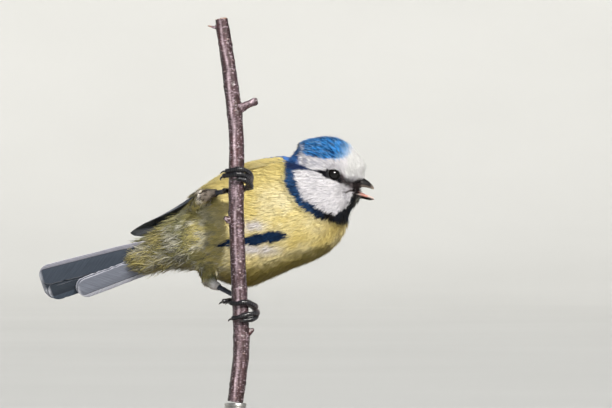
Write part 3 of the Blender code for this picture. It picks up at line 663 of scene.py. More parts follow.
def scatter(count, seed):
    """Points spread evenly over the skin, with their normals."""
    rng = np.random.default_rng(seed)
    a, b, c = (SKIN_POINTS[SKIN_TRIS[:, i]] for i in range(3))
    area = np.linalg.norm(np.cross(b - a, c - a), axis=1)
    total = np.cumsum(area)
    at = (np.arange(count) + rng.random(count)) / count * total[-1]
    pick = np.minimum(np.searchsorted(total, at), len(total) - 1)
    u, v = rng.random(count), rng.random(count)
    over = u + v > 1
    u[over], v[over] = 1 - u[over], 1 - v[over]
    w = np.stack([1 - u - v, u, v], 1)[..., None]
    points = (SKIN_POINTS[SKIN_TRIS[pick]] * w).sum(1)
    normals = unit((SKIN_NORMALS[SKIN_TRIS[pick]] * w).sum(1))
    order = rng.permutation(count)
    return points[order], normals[order]


def snap(points):
    """The nearest points of the skin, and its normals there."""
    near, normals = np.empty_like(points), np.empty_like(points)
    find = TREE.find_nearest
    for i, p in enumerate(points.tolist()):
        co, normal, _, _ = find(p)
        near[i], normals[i] = co, normal
    return near, normals


def flow(points, normals):
    """The way the plumage lies: from the bill back over the head, then along the body to the tail, and down the legs."""
    away = unit(points - world(354, 187, BODY_Y))
    back = ease(13, 27, np.linalg.norm(points - HEAD_C, axis=1))
    way = away * (1 - back)[:, None] - FORWARD * back[:, None]
    s, a, c = in_body(points)
    # the sides of the breast and belly sweep down and out a little before they run back
    spread = back * ease(4, 20, s) * (1 - ease(40, 60, s))
    way = way - DORSAL * (0.12 * spread)[:, None] * np.sign(c)[:, None]
    f, side, z = in_head(points)
    turn = np.stack([f - EYE_F, z - EYE_Z], 1)
    r = np.linalg.norm(turn, axis=1)
    near = (1 - ease(2.4, 4.2, r)) * (np.abs(side) > 4)
    turn = turn / np.maximum(r, 1e-6)[:, None]
    way = way + (HEAD_F * turn[:, :1] + HEAD_Z * turn[:, 1:]) * (near * 0.8)[:, None]
    share, _, down = leg_share(points)
    way = way * (1 - share)[:, None] + down * share[:, None] * 1.2
    way = way - normals * (way * normals).sum(1, keepdims=True)
    return unit(way)


def turned(way, normals, angle):
    side = np.cross(normals, way)
    return way * np.cos(angle)[:, None] + side * np.sin(angle)[:, None]


def follow(points, normals, length, rows, wander, rng):
    """Centre lines that run along the skin with the lie: (rows + 1, n, 3) places, normals and directions."""
    angle = rng.normal(0, 1, len(points)) * wander
    way = turned(flow(points, normals), normals, angle)
    places, ups, ways = [points], [normals], [way]
    step = (length / rows)[:, None]
    for _ in range(rows):
        near, up = snap(places[-1] + ways[-1] * step)
        lie = turned(flow(near, up), up, angle)
        way = unit(ways[-1] * 0.5 + lie * 0.5)
        way = unit(way - up * (way * up).sum(1, keepdims=True))
        # carries on in the same line where the skin folds back on itself
        jump = np.linalg.norm(near - places[-1], axis=1, keepdims=True) < 0.35 * step
        near = np.where(jump, places[-1] + ways[-1] * step * 0.8, near)
        places.append(near)
        ups.append(up)
        ways.append(way)
    return np.array(places), np.array(ups), np.array(ways)


def body_unwrap(points):
    s, a, c = in_body(points)
    return np.stack([0.5 + np.arctan2(a, -c) / (2 * math.pi), (s + 24) / 88], 1).clip(0.004, 0.996)


def head_unwrap(points):
    f, side, z = in_head(points)
    return np.stack([0.5 + np.arctan2(side, z) / (2 * math.pi), np.arccos(np.clip(f / np.sqrt(f * f + side * side + z * z), -1, 1)) / 2.75], 1).clip(0.004, 0.996)


# Half widths down a plume, as a share of its width: the last row is its single tip.
STRAND, VANE, DOWN = (0.75, 1.0, 0.7), (0.4, 0.92, 1.0, 0.74), (0.6, 1.0, 0.8, 0.5)


def plumes(name, roots, length, width, depth, shape, columns, material, unwrap, seed, wander=0.16, bright=0.13, loose=0.25, roll=0.25, tone=1.0, dusk=0.70):
    """Flat plumes rooted on the skin, that rise to the coat's surface at their tips and lie along it."""
    rng = np.random.default_rng(seed)
    points, normals = roots
    rows = len(shape)
    places, ups, ways = follow(points, normals, length, rows, wander, rng)
    f, side, z = in_head(places[-1])
    keep = ~((np.hypot(f - EYE_F, z - EYE_Z) < 1.88) & (np.abs(side) > 5))
    f, side, z = in_head(places[1])
    keep &= ~((np.hypot(f - EYE_F, z - EYE_Z) < 1.87) & (np.abs(side) > 5))
    places, ups, ways = places[:, keep], ups[:, keep], ways[:, keep]
    n = places.shape[1]
    length, width, depth = length[keep], width[keep], depth[keep]
    bright = np.broadcast_to(bright, keep.shape)[keep]
    colors = plumage(places[min(1, rows)] + ways[0] * (length * rng.uniform(0.0, 0.3, n))[:, None])
    colors = colors * (1 + rng.normal(0, bright, n)).clip(0.55, 1.5)[:, None] * tone
    rise = depth * (1 + rng.normal(0, loose, n)).clip(0.35, 1.9)
    tilt = rng.normal(0, roll, n)
    points_out, colors_out, uv_out = [], [], []
    at = unwrap(places[0])
    for i in range(rows + 1):
        t = i / rows
        centre = places[i] + ups[i] * (rise * (t**0.75) - 0.12 * (1 - t))[:, None]
        shade = colors * (dusk + (1 - dusk) * t**0.7)
        if i == rows:
            points_out.append(centre[:, None])
            colors_out.append((shade * 1.04)[:, None])
            uv_out.append((at + [0, 0.0015])[:, None])
            continue
        side = np.cross(ups[i], ways[i])
        side = unit(side * np.cos(tilt)[:, None] + ups[i] * np.sin(tilt)[:, None])
        half = (width * shape[i] / 2)[:, None]
        if columns == 2:
            row = np.stack([centre - side * half, centre + side * half], 1)
            tints = np.stack([shade, shade], 1)
            uvs = np.stack([at + [-0.0014, -0.0015 + 0.003 * t], at + [0.0014, -0.0015 + 0.003 * t]], 1)
        else:
            row = np.stack([centre - side * half, centre + ups[i] * half * 0.28, centre + side * half], 1)
            tints = np.stack([shade * 1.03, shade * 0.9, shade * 1.03], 1)
            uvs = np.stack([at + [x, -0.0015 + 0.003 * t] for x in (-0.0014, 0.0, 0.0014)], 1)
        points_out.append(row)
        colors_out.append(tints)
        uv_out.append(uvs)
    points_out = np.concatenate(points_out, 1)
    per = points_out.shape[1]
    first = (np.arange(n) * per)[:, None, None]
    quads = [[i * columns + j, i * columns + j + 1, (i + 1) * columns + j + 1, (i + 1) * columns + j] for i in range(rows - 1) for j in range(columns - 1)]
    tris = [[(rows - 1) * columns + j, (rows - 1) * columns + j + 1, per - 1] for j in range(columns - 1)]
    mesh = mesh_from(name, points_out.reshape(-1, 3), (first + np.array(quads)).reshape(-1, 4), (first + np.array(tris)).reshape(-1, 3))
    paint(mesh, np.concatenate(colors_out, 1).reshape(-1, 3))
    lay_out(mesh, np.concatenate(uv_out, 1).reshape(-1, 2))
    return shown(name, mesh, material)


def plume_material():
    made = Nodes("plumage_soft", roughness=0.78, sheen_weight=0.10, sheen_roughness=0.5, specular_ior_level=0.05)
    place = made.place()
    fine = made.ramp(made.noise(place, 2600, 3), [(0.25, (0.88, 0.88, 0.88)), (0.75, (1.0, 1.0, 1.0))])
    made.color(made.mix(made.tint(), fine, 1.0, "MULTIPLY"))
    return made.material


PLUME = plume_material()

# Wing stations in body axes: s, then (a, c) of the lower edge, the bulge and the upper edge, then the thickness.
WING = (
    (44.5, 14.2, 4.6, 13.6, 7.4, 10.6, 11.4, 1.0), (40, 16.6, 3.6, 15.4, 9.6, 8.6, 14.4, 2.2), (29, 18.6, 3.6, 15.0, 13.2, 4.6, 17.6, 2.4),
    (18, 16.8, 4.4, 14.0, 12.6, 3.4, 16.8, 2.3), (5, 12.6, 5.4, 10.2, 10.6, 3.0, 13.2, 2.0), (-6, 10.2, 6.2, 7.8, 9.0, 3.6, 9.8, 1.5),
    (-12, 8.9, 6.9, 7.2, 8.4, 4.6, 8.6, 1.1), (-16.4, 7.3, 7.5, 6.7, 7.9, 5.9, 8.2, 0.7),
)
WING_LINE = through(WING, 90)[::-1]  # from the tip forward, so that s climbs


def wing_row(s, side):
    """The wing's section at s: lower edge, bulge and upper edge as (a, c), for one side."""
    s = np.asarray(s, float)
    row = np.stack([np.interp(s, WING_LINE[:, 0], WING_LINE[:, i]) for i in range(1, 7)], -1)
    fold = np.ones(s.shape) if side > 0 else 0.97 - 0.32 * (1 - ease(-16, 16, s))
    flat = np.full(s.shape, 1.0 if side > 0 else 0.985)
    low, middle, high = (row[..., i : i + 2] * np.stack([fold, flat], -1) for i in (0, 2, 4))
    return low, middle, high


def under_wing(points, margin=4.0):
    """True where the folded wing covers the skin."""
    s, a, c = in_body(points)
    covered = np.zeros(len(points), bool)
    for side in (1, -1):
        low, _, high = wing_row(s, side)
        at = np.degrees(np.arctan2(c, a * side))
        start, stop = np.degrees(np.arctan2(low[:, 1], low[:, 0])), np.degrees(np.arctan2(high[:, 1], high[:, 0]))
        covered |= (a * side > 0) & (at > start + margin) & (at < stop - margin) & (s > -15) & (s < 42)
    return covered


def make_coat():
    points, normals = scatter(150000, 31)
    f, side, z = in_head(points)
    gx, gy = on_grid(points)
    eye = (np.hypot(f - EYE_F, z - EYE_Z) < 1.85) & (np.abs(side) > 4)
    mouth = (gx > 356.3) & (np.abs(side) < 2.9) & (gy > 180) & (gy < 197)
    zone = outline_distance(HEAD_ZONE, gx, gy)
    hidden = under_wing(points) & (zone > 2)
    s, a, c = in_body(points)
    tail_root = s < -21
    good = ~(eye | mouth | hidden | tail_root)
    points, normals, zone = points[good], normals[good], zone[good]
    rng = np.random.default_rng(32)
    chance = rng.random(len(points))
    on_head = zone < 0.5
    depth = coat_depth(points)
    share, down, _ = leg_share(points)
    s, a, c = in_body(points)
    bill = np.linalg.norm(points - world(353, 188.5, BODY_Y), axis=1)
    rear = (1 - ease(0, 18, s)) * ~on_head

    # lengths of body strands
    reach = 3.3 + 1.5 * rear
    reach = np.where(share > 0.3, 2.0, reach) * rng.uniform(0.75, 1.25, len(points))
    pick = ~on_head & (chance < 0.50)
    index = np.flatnonzero(pick)
    halves = np.array_split(index, 2)
    for i, part in enumerate(halves):
        plumes(f"coat_body_{i + 1}", (points[part], normals[part]), reach[part], rng.uniform(0.20, 0.38, len(part)), depth[part] * 1.05,
               STRAND, 2, PLUME, body_unwrap, 40 + i, wander=0.15 + 0.24 * rear[part], bright=0.055 + 0.08 * rear[part], loose=0.20, roll=0.17, dusk=0.85)
    # broader vanes underneath
    part = np.flatnonzero(~on_head & (chance > 0.92))
    plumes("coat_body_vanes", (points[part], normals[part]), reach[part] * 1.15, rng.uniform(1.0, 1.7, len(part)), depth[part] * 0.75,
           VANE, 3, PLUME, body_unwrap, 50, wander=0.10, bright=0.07, loose=0.15, roll=0.10)
    # head
    reach = 0.75 + 1.5 * ease(3.0, 12.0, bill)
    f, side, z = in_head(points)
    near_eye = 1 - ease(2.6, 4.0, np.hypot(f - EYE_F, z - EYE_Z))
    reach = np.where(np.abs(side) > 4, reach * (1 - 0.5 * near_eye), reach) * rng.uniform(0.75, 1.25, len(points))
    gx, gy = on_grid(points)
    crown = (outline_distance(CAP_ZONE, gx, gy) < 0) * (1 - ease(330, 352, gx))
    reach = reach * (1 + 0.45 * crown)
    part = np.flatnonzero(on_head & (chance < 0.93))
    vary = np.where(crown > 0, 0.2, 0.075)[part]
    plumes("coat_head", (points[part], normals[part]), reach[part], rng.uniform(0.12, 0.2, len(part)) * (0.7 + 0.3 * ease(3, 9, bill[part])), np.maximum(depth[part] * 1.1 + 0.05, 0.30),
           STRAND, 2, PLUME, head_unwrap, 60, wander=0.13, bright=vary, loose=0.3, dusk=0.86, tone=0.98)


make_coat()


# ---------------------------------------------------------------- eyes and lids
def ring_mesh(rings):
    """Open surface over rings of equal count, each closed round."""
    rings = np.asarray(rings)
    return rings.reshape(-1, 3), grid_quads(rings.shape[0], rings.shape[1], True)


def eye_material():
    made = Nodes("eye_wet", roughness=0.08, specular_ior_level=0.38)
    fleck = made.ramp(made.noise(made.place(), 3500, 3), [(0.35, (0.75, 0.75, 0.75)), (0.7, (1.25, 1.2, 1.15))])
    made.color(made.mix(made.tint(), fleck, 1.0, "MULTIPLY"))
    return made.material


def make_eyes():
    wet = eye_material()
    lid = Nodes("eyelid_skin", roughness=0.6, specular_ior_level=0.12)
    place = lid.place()
    lid.color(lid.mix(lid.tint(), lid.ramp(lid.noise(place, 2200, 4), [(0.3, (0.7, 0.7, 0.7)), (0.7, (1.2, 1.2, 1.2))]), 1.0, "MULTIPLY"))
    lid.bump(lid.noise(place, 3000, 3), 0.5, 0.0001)
    lids = []
    turn = np.linspace(0, 2 * math.pi, 72, endpoint=False)
    for side, name in ((-1, "right"), (1, "left")):
        centre = head(EYE_F, side * EYE_SIDE, EYE_Z)
        rings, tints = [], []
        for angle in np.linspace(0.02, math.pi - 0.02, 56):
            r = EYE_R * (1 + 0.03 * math.exp(-((angle / 0.7) ** 2)))
            rings.append(centre + r * (math.cos(angle) * DEPTH * side + math.sin(angle) * (np.cos(turn)[:, None] * HEAD_F + np.sin(turn)[:, None] * HEAD_Z)))
            iris = ease(0.42, 0.46, angle) * (1 - ease(0.80, 0.86, angle))
            tone = blend(np.array([0.0035, 0.003, 0.003]), np.array([0.0045, 0.0035, 0.0030]), iris)
            tints.append(np.tile(tone, (72, 1)))
        points, quads = ring_mesh(rings)
        n = len(rings)
        j = np.arange(72)
        caps = np.concatenate([np.stack([np.full(72, n * 72), (j + 1) % 72, j], -1), np.stack([np.full(72, n * 72 + 1), (n - 1) * 72 + j, (n - 1) * 72 + (j + 1) % 72], -1)])
        points = np.concatenate([points, [centre + DEPTH * side * EYE_R * 1.03, centre - DEPTH * side * EYE_R]])
        mesh = outward(mesh_from("eyeball_" + name, points, quads, caps))
        paint(mesh, np.concatenate(tints + [tints[0][:1], tints[-1][:1]]))
        shown("eyeball_" + name, mesh, wet, ("eye_" + name,))
        # rim of bare skin: from the eyeball out over the edge of the socket
        rows = ((1.72, 9.12), (1.72, 9.36), (1.75, 9.45), (1.80, 9.50), (1.87, 9.50), (1.94, 9.44), (2.03, 9.30), (2.17, 9.08), (2.3, 8.8))
        rings, tints = [], []
        stretch = 1 + 0.05 * np.cos(2 * turn) + 0.03 * np.cos(turn - 0.2)
        for i, (r, out) in enumerate(rows):
            wave = 1 + 0.012 * np.sin(turn * 13) * (2 < i < 7)
            reach = r * stretch * wave
            rings.append(head(0, 0, 0) + HEAD_F * (EYE_F + reach * np.cos(turn))[:, None] + HEAD_Z * (EYE_Z + reach * np.sin(turn))[:, None] + DEPTH * side * out)
            tints.append(np.tile(np.array([0.007, 0.0075, 0.0075]) * (0.4 if i < 2 else 0.6) * (1.9 if i in (3, 4) else 1.0), (72, 1)))
        points, quads = ring_mesh(rings)
        lids.append((points, quads[:, ::-side] if side < 0 else quads, np.zeros((0, 3), int), np.concatenate(tints)))
    points, quads, tris = joined([x[:3] for x in lids])
    mesh = mesh_from("eyelids", points, quads, tris)
    paint(mesh, np.concatenate([x[3] for x in lids]))
    shown("eyelids", mesh, lid.material)


make_eyes()


# ---------------------------------------------------------------- bill
UPPER = ((351.5, 181.5, 190.2, 2.3), (356, 178.6, 189.2, 2.35), (361, 177.3, 187.4, 2.1), (365, 178.9, 187.3, 1.6),
         (369, 181.6, 188.2, 1.05), (372, 184.6, 189.1, 0.55), (373.9, 187.3, 189.3, 0.18))
LOWER = ((350.5, 191.0, 195.4, 2.2), (355, 192.1, 196.6, 2.15), (360, 193.0, 198.1, 1.8), (364.5, 194.4, 199.2, 1.4),
         (368.5, 195.2, 200.1, 1.0), (371.8, 196.6, 200.1, 0.6), (374, 198.0, 199.7, 0.2))


def mandible(rows, upper):
    """Points, quads, tris and colours of one half of the bill."""
    rows = through(rows, 46)
    arch, floor_ = 25, 11
    rings, tints = [], []
    for gx, top, low, wide in rows:
        ridge, edge = (top, low) if upper else (low, top)
        ring, tint = [], []
        pale = srgb(150, 138, 128) if upper else srgb(214, 196, 190)
        rosy = ease(358, 362, gx) * (1 - ease(366.5, 369, gx))
        if not upper:
            pale = blend(pale, srgb(196, 140, 130), rosy)
        dark = srgb(9, 8, 10)
        tip = ease(369.5, 373.0, gx)
        for turn in np.linspace(-math.pi / 2, math.pi / 2, arch):
            across = math.copysign(abs(math.sin(turn)) ** 0.85, turn) * wide
            share = max(math.cos(turn), 0.0) ** 0.8  # 1 at the ridge, 0 at the cutting edge
            ring.append(world(gx, edge + (ridge - edge) * share, BODY_Y) + DEPTH * across)
            rim = (1 - ease(0.06, 0.30, share)) if upper else (1 - ease(0.30, 0.55, share))
            rim = rim * (ease(357, 362, gx) if upper else 1.0)
            tint.append(blend(dark, pale, min(1.0, rim * (0.75 if upper else 1.0) + tip * (0.75 if upper else 0.6) * (1 - share * 0.5))))
        for x in np.linspace(1, -1, floor_ + 2)[1:-1]:
            hollow = (1 - x * x) * 0.42
            ring.append(world(gx, edge + (ridge - edge) * hollow, BODY_Y) + DEPTH * x * wide * 0.96)
            tint.append(blend(srgb(120, 52, 44), srgb(60, 34, 32), ease(358, 368, gx)))
        rings.append(ring)
        tints.append(tint)
    n, m = len(rings), len(rings[0])
    points = np.array(rings).reshape(-1, 3)
    ends = np.array([np.mean(rings[0], 0), np.mean(rings[-1], 0)])
    j = np.arange(m)
    k = (j + 1) % m
    caps = np.concatenate([np.stack([np.full(m, n * m), k, j], -1), np.stack([np.full(m, n * m + 1), (n - 1) * m + j, (n - 1) * m + k], -1)])
    colors = np.concatenate([np.array(tints).reshape(-1, 3), np.array(tints)[0, :1], np.array(tints)[-1, :1]])
    return np.concatenate([points, ends]), grid_quads(n, m, True), caps, colors


def make_bill():
    horn = Nodes("horn", roughness=0.40, coat_weight=0.0, coat_roughness=0.3, specular_ior_level=0.12)
    place = horn.place()
    streaks = horn.noise(horn.stretched(place, (400, 2200, 2200)), 1.0, 4)
    horn.color(horn.mix(horn.tint(), horn.ramp(streaks, [(0.3, (0.72, 0.72, 0.72)), (0.7, (1.18, 1.16, 1.14))]), 1.0, "MULTIPLY"))
    horn.bump(streaks, 0.6, 0.00012)
    for name, rows, upper in (("mandible_upper", UPPER, True), ("mandible_lower", LOWER, False)):
        points, quads, tris, colors = mandible(rows, upper)
        mesh = outward(mesh_from(name, points, quads, tris))
        paint(mesh, colors)
        shown(name, mesh, horn.material, ("bill_upper" if upper else "bill_lower",))
    # soft lining at the back of the open bill
    lining = Nodes("mouth_lining", roughness=0.3, coat_weight=0.4, coat_roughness=0.2)
    lining.color(lining.ramp(lining.noise(lining.place(), 1800, 3), [(0.3, (0.055, 0.012, 0.009)), (0.7, (0.13, 0.035, 0.026))]))
    bm = bmesh.new()
    bmesh.ops.create_uvsphere(bm, u_segments=32, v_segments=20, radius=1.0)
    for vertex in bm.verts:
        d = np.array(vertex.co)
        vertex.co = Vector((world(352.6, 190.2, BODY_Y) + np.array([d[0] * 1.35, d[1] * 1.9, d[2] * 1.2 - d[0] * 0.1])) * MM)
    mesh = bpy.data.meshes.new("mouth_lining")
    bm.to_mesh(mesh)
    bm.free()
    mesh.shade_smooth()
    shown("mouth_lining", mesh, lining.material)
    flesh = Nodes("tongue", roughness=0.35, coat_weight=0.3, coat_roughness=0.2)
    flesh.color(flesh.ramp(flesh.noise(flesh.place(), 2400, 3), [(0.3, (0.16, 0.045, 0.035)), (0.7, (0.30, 0.10, 0.075))]))
    path = through([world(353.5, 191.6, BODY_Y), world(357, 192.0, BODY_Y), world(361, 192.9, BODY_Y), world(365.5, 194.6, BODY_Y)], 30)
    x = np.linspace(0, 1, 30)
    flat = tube_mesh(path, 0.62 * np.sqrt(np.clip(1 - x**3, 0.004, 1)), 20)
    middle = np.interp(flat[0][:, 0], path[:, 0], path[:, 2])
    flat[0][:, 2] = middle + (flat[0][:, 2] - middle) * 0.42
    shown("tongue", outward(mesh_from("tongue", *flat)), flesh.material)


make_bill()


# ---------------------------------------------------------------- twig
TWIG = ((222.3, 20.5, 2.15), (224.2, 34, 2.25), (227.5, 56, 2.35), (231, 80, 2.45), (234, 103, 2.55), (236.6, 128, 2.5), (237.4, 152, 2.55),
        (237, 185, 2.6), (237.2, 218, 2.6), (238.6, 259, 2.6), (240.3, 295, 2.65), (241.6, 320, 2.7), (242, 349, 2.75), (239.4, 374, 2.7),
        (236.2, 400, 2.65))
SNAGS = (
    ((234, 112, TWIG_Y, 1.7), (243, 108.5, TWIG_Y, 1.55), (250, 105, TWIG_Y - 0.3, 1.25), (255.5, 102.8, TWIG_Y - 0.5, 1.3), (258, 102.2, TWIG_Y - 0.5, 0.9)),
    ((222.5, 30, TWIG_Y, 0.8), (215, 29, TWIG_Y, 0.5), (208.5, 27.5, TWIG_Y, 0.3)),
    ((234, 222, TWIG_Y, 1.3), (228.5, 219.5, TWIG_Y - 1.2, 1.1), (225, 217.5, TWIG_Y - 1.8, 0.6)),
    ((243, 334, TWIG_Y, 1.5), (250, 330.5, TWIG_Y, 1.1), (254.5, 327.5, TWIG_Y, 0.5)),
)
TWIG_ROWS = np.array(TWIG, float)


def twig_at(gy):
    return world(np.interp(gy, TWIG_ROWS[:, 1], TWIG_ROWS[:, 0]), gy, TWIG_Y), float(np.interp(gy, TWIG_ROWS[:, 1], TWIG_ROWS[:, 2]))


def round_twig(turn, reach, gy):
    centre, _ = twig_at(gy)
    turn = math.radians(turn)
    return centre + np.array([reach * math.cos(turn), reach * math.sin(turn), 0])


def make_twig():
    line = through(TWIG, 130)
    path = np.array([world(gx, gy, TWIG_Y) for gx, gy, _ in line])
    parts = [tube_mesh(path, line[:, 2], 32)]
    for rows in SNAGS:
        rows = through(rows, 16)
        parts.append(tube_mesh(np.array([world(gx, gy, y) for gx, gy, y, _ in rows]), rows[:, 3], 20))
    mesh = melted(outward(mesh_from("twig_raw", *joined(parts))), 0.24, 2)
    points, normals = read(mesh)
    gx, gy = on_grid(points)
    radius = np.interp(gy, TWIG_ROWS[:, 1], TWIG_ROWS[:, 2])
    middle = np.interp(gy, TWIG_ROWS[:, 1], TWIG_ROWS[:, 0])
    long_ = points * [1, 1, 0.22]
    swell = 0.10 * noise(points, 3.2, 61) + 0.07 * noise(long_, 0.9, 62) + 0.035 * noise(points, 0.6, 63)
    # growth rings: fine raised lines that run part of the way round
    for at, high, wide in ((46, 0.10, 1.6), (88, 0.16, 2.2), (116, 0.18, 3.0), (148, 0.10, 1.5), (212, 0.14, 2.6), (226, 0.10, 1.4), (262, 0.10, 1.4),
                           (288, 0.12, 1.8), (336, 0.16, 2.6), (346, 0.10, 1.4), (382, 0.10, 1.6)):
        swell = swell + high * np.exp(-(((gy + 1.5 * noise(points, 1.5, 64) - at) / wide) ** 2))
    color = blend(np.tile(srgb(116, 86, 90), (len(points), 1)), srgb(84, 52, 52), np.clip(0.5 + 0.9 * noise(long_, 1.3, 65), 0, 1))
    color = blend(color, srgb(168, 146, 154), np.clip(0.9 * noise(long_, 0.8, 66) + 0.4 * noise(points, 4.0, 67), 0, 0.75))
    color = blend(color, srgb(132, 60, 56), np.clip(1.6 * noise(points, 5.5, 68) - 0.7, 0, 0.3))
    color = blend(color, srgb(70, 46, 46), np.clip(1.5 * noise(points * [1, 1, 3.0], 1.3, 69) - 0.75, 0, 0.7))
    # painted shade darkens both sides of the twig as they turn away from the front, the right side more; a painted
    # highlight runs as a pale streak down the front, a little left of the middle
    facing = np.degrees(np.arctan2(normals[:, 0], -normals[:, 1])) + 9 * noise(long_, 2.0, 74)
    edge = np.where(facing > 0, ease(18, 58, facing), 0.75 * ease(38, 70, -facing)) * (1 - ease(120, 160, np.abs(facing)))
    color = color * 0.50 * blend(np.ones((len(points), 3)), np.array([0.30, 0.21, 0.24]), edge)
    color = blend(color, srgb(222, 204, 211), np.exp(-(((facing + 12) / 10.5) ** 2)) * np.clip(0.60 + 0.7 * noise(long_, 1.1, 75), 0, 0.92))
    rng = np.random.default_rng(70)
    for _ in range(260):
        at = rng.uniform(22, 398)
        centre, r = twig_at(at)
        turn = rng.uniform(0, 2 * math.pi)
        side = np.array([-math.sin(turn), math.cos(turn), 0])
        d = points - (centre + r * np.array([math.cos(turn), math.sin(turn), 0]))
        wide = rng.uniform(0.18, 0.5)
        near = np.exp(-(((d @ side) / wide) ** 2) - (d[:, 2] / 0.13) ** 2 - ((d @ np.array([math.cos(turn), math.sin(turn), 0])) / 0.8) ** 2)
        swell = swell + near * 0.085
        color = blend(color, srgb(186, 164, 158), np.clip(near * 0.85, 0, 1))
    broken = 1 - ease(20.5, 24.5, gy)
    color = blend(color, srgb(178, 150, 128), np.clip(broken * (normals[:, 2] > 0.5) + (gx < middle - radius / UNIT - 4) * (gy < 45) * 0.9, 0, 1))
    swell = swell + broken * (normals[:, 2] > 0.5) * 0.5 * noise(points, 0.7, 71)
    foot = ease(396, 400, gy)
    swell = swell * (1 - foot) - 0.02 * foot
    fine = noise(points * [1, 1, 2.2], 0.5, 72)
    color = blend(color, srgb(196, 180, 190), np.clip(1.5 * fine - 0.45, 0, 0.6))
    color = blend(color, srgb(52, 32, 34), np.clip(-1.5 * fine - 0.5, 0, 0.6))
    write(mesh, points + normals * (swell + 0.03 * fine - 0.02)[:, None])
    paint(mesh, color)
    mesh.shade_smooth()
    bark = Nodes("bark", roughness=0.4, specular_ior_level=0.35, coat_weight=0.15, coat_roughness=0.3)
    place = bark.place()
    grain = bark.noise(bark.stretched(place, (1500, 1500, 260)), 1.0, 6, 0.62)
    speck = bark.noise(bark.stretched(place, (700, 700, 1700)), 1.0, 4)
    bark.color(bark.mix(bark.mix(bark.tint(), bark.ramp(grain, [(0.3, (0.48, 0.45, 0.46)), (0.7, (1.4, 1.36, 1.4))]), 1.0, "MULTIPLY"),
                        bark.ramp(speck, [(0.35, (0.66, 0.62, 0.62)), (0.65, (1.22, 1.22, 1.24))]), 1.0, "MULTIPLY"))
    bark.rough(bark.ramp(grain, [(0.3, (0.30, 0.30, 0.30)), (0.75, (0.55, 0.55, 0.55))]))
    bark.bump(bark.math("ADD", grain, bark.math("MULTIPLY", speck, 0.5)), 0.6, 0.00022)
    shown("twig", mesh, bark.material, ("perch",))


make_twig()


# ---------------------------------------------------------------- feet
TOES = {
    "right": (
        ((30, 4.7, 186.0), (8, 4.9, 181.5), (-12, 4.7, 175), (-40, 4.0, 170.8), (-75, 3.75, 169.6), (-112, 3.75, 170.4), (-146, 3.95, 171.6), (-166, 4.7, 172.0), (-178, 5.5, 174.2)),
        ((30, 4.7, 186.0), (6, 4.8, 184.0), (-18, 4.5, 179), (-50, 3.85, 175.2), (-88, 3.75, 174.4), (-126, 3.8, 175.6), (-158, 4.4, 176.2), (-176, 5.2, 178.6), (-184, 5.3, 180.8)),
        ((30, 4.7, 186.0), (12, 4.9, 187.0), (-10, 4.6, 184.6), (-38, 4.0, 181.0), (-66, 3.8, 179.4), (-92, 3.8, 179.6), (-112, 4.2, 181.0)),
        ((30, 4.7, 186.0), (58, 4.5, 189.5), (90, 4.0, 191.5), (124, 3.8, 191.5), (152, 4.1, 190.6), (172, 4.6, 191.6), (184, 4.5, 193.4)),
    ),
    "left": (
        ((30, 4.9, 305.0), (6, 5.1, 306.2), (-14, 5.0, 304.6), (-42, 4.1, 301.6), (-74, 3.85, 301.2), (-106, 3.8, 302.4), (-138, 3.9, 301.8), (-166, 4.4, 301.8), (-182, 5.0, 303.6)),
        ((30, 4.9, 305.0), (10, 5.2, 309.0), (-8, 5.5, 312.0), (-36, 4.5, 312.6), (-68, 3.85, 314.0), (-100, 3.8, 315.8), (-130, 3.9, 317.0), (-154, 4.3, 318.6), (-164, 4.4, 320.4)),
        ((30, 4.9, 305.0), (14, 5.2, 311.0), (-6, 5.1, 316.0), (-34, 4.3, 318.0), (-62, 3.9, 318.8), (-86, 3.9, 319.6), (-104, 4.3, 321.4)),
        ((30, 4.9, 305.0), (60, 4.6, 304.0), (92, 4.1, 302.0), (124, 4.0, 300.4), (152, 4.3, 299.6), (170, 5.3, 300.2), (177, 6.4, 301.6), (180, 7.1, 303.4)),
    ),
}
HEEL = {"right": world(207, 194.5, -3.6), "left": world(213, 283.5, -2.6)}


def plates(length, each, high):
    """Overlapping scutes: the radius climbs along each plate and drops at its end, deeper on the outer side."""
    def ripple(t, turn):
        x = t * length / each + 0.12 * np.sin(turn * 2)
        climb = x - np.floor(x)
        return 1 + high * (climb**1.6 - 0.4) + 0.02 * np.sin(turn * 5 + t * 40)
    return ripple


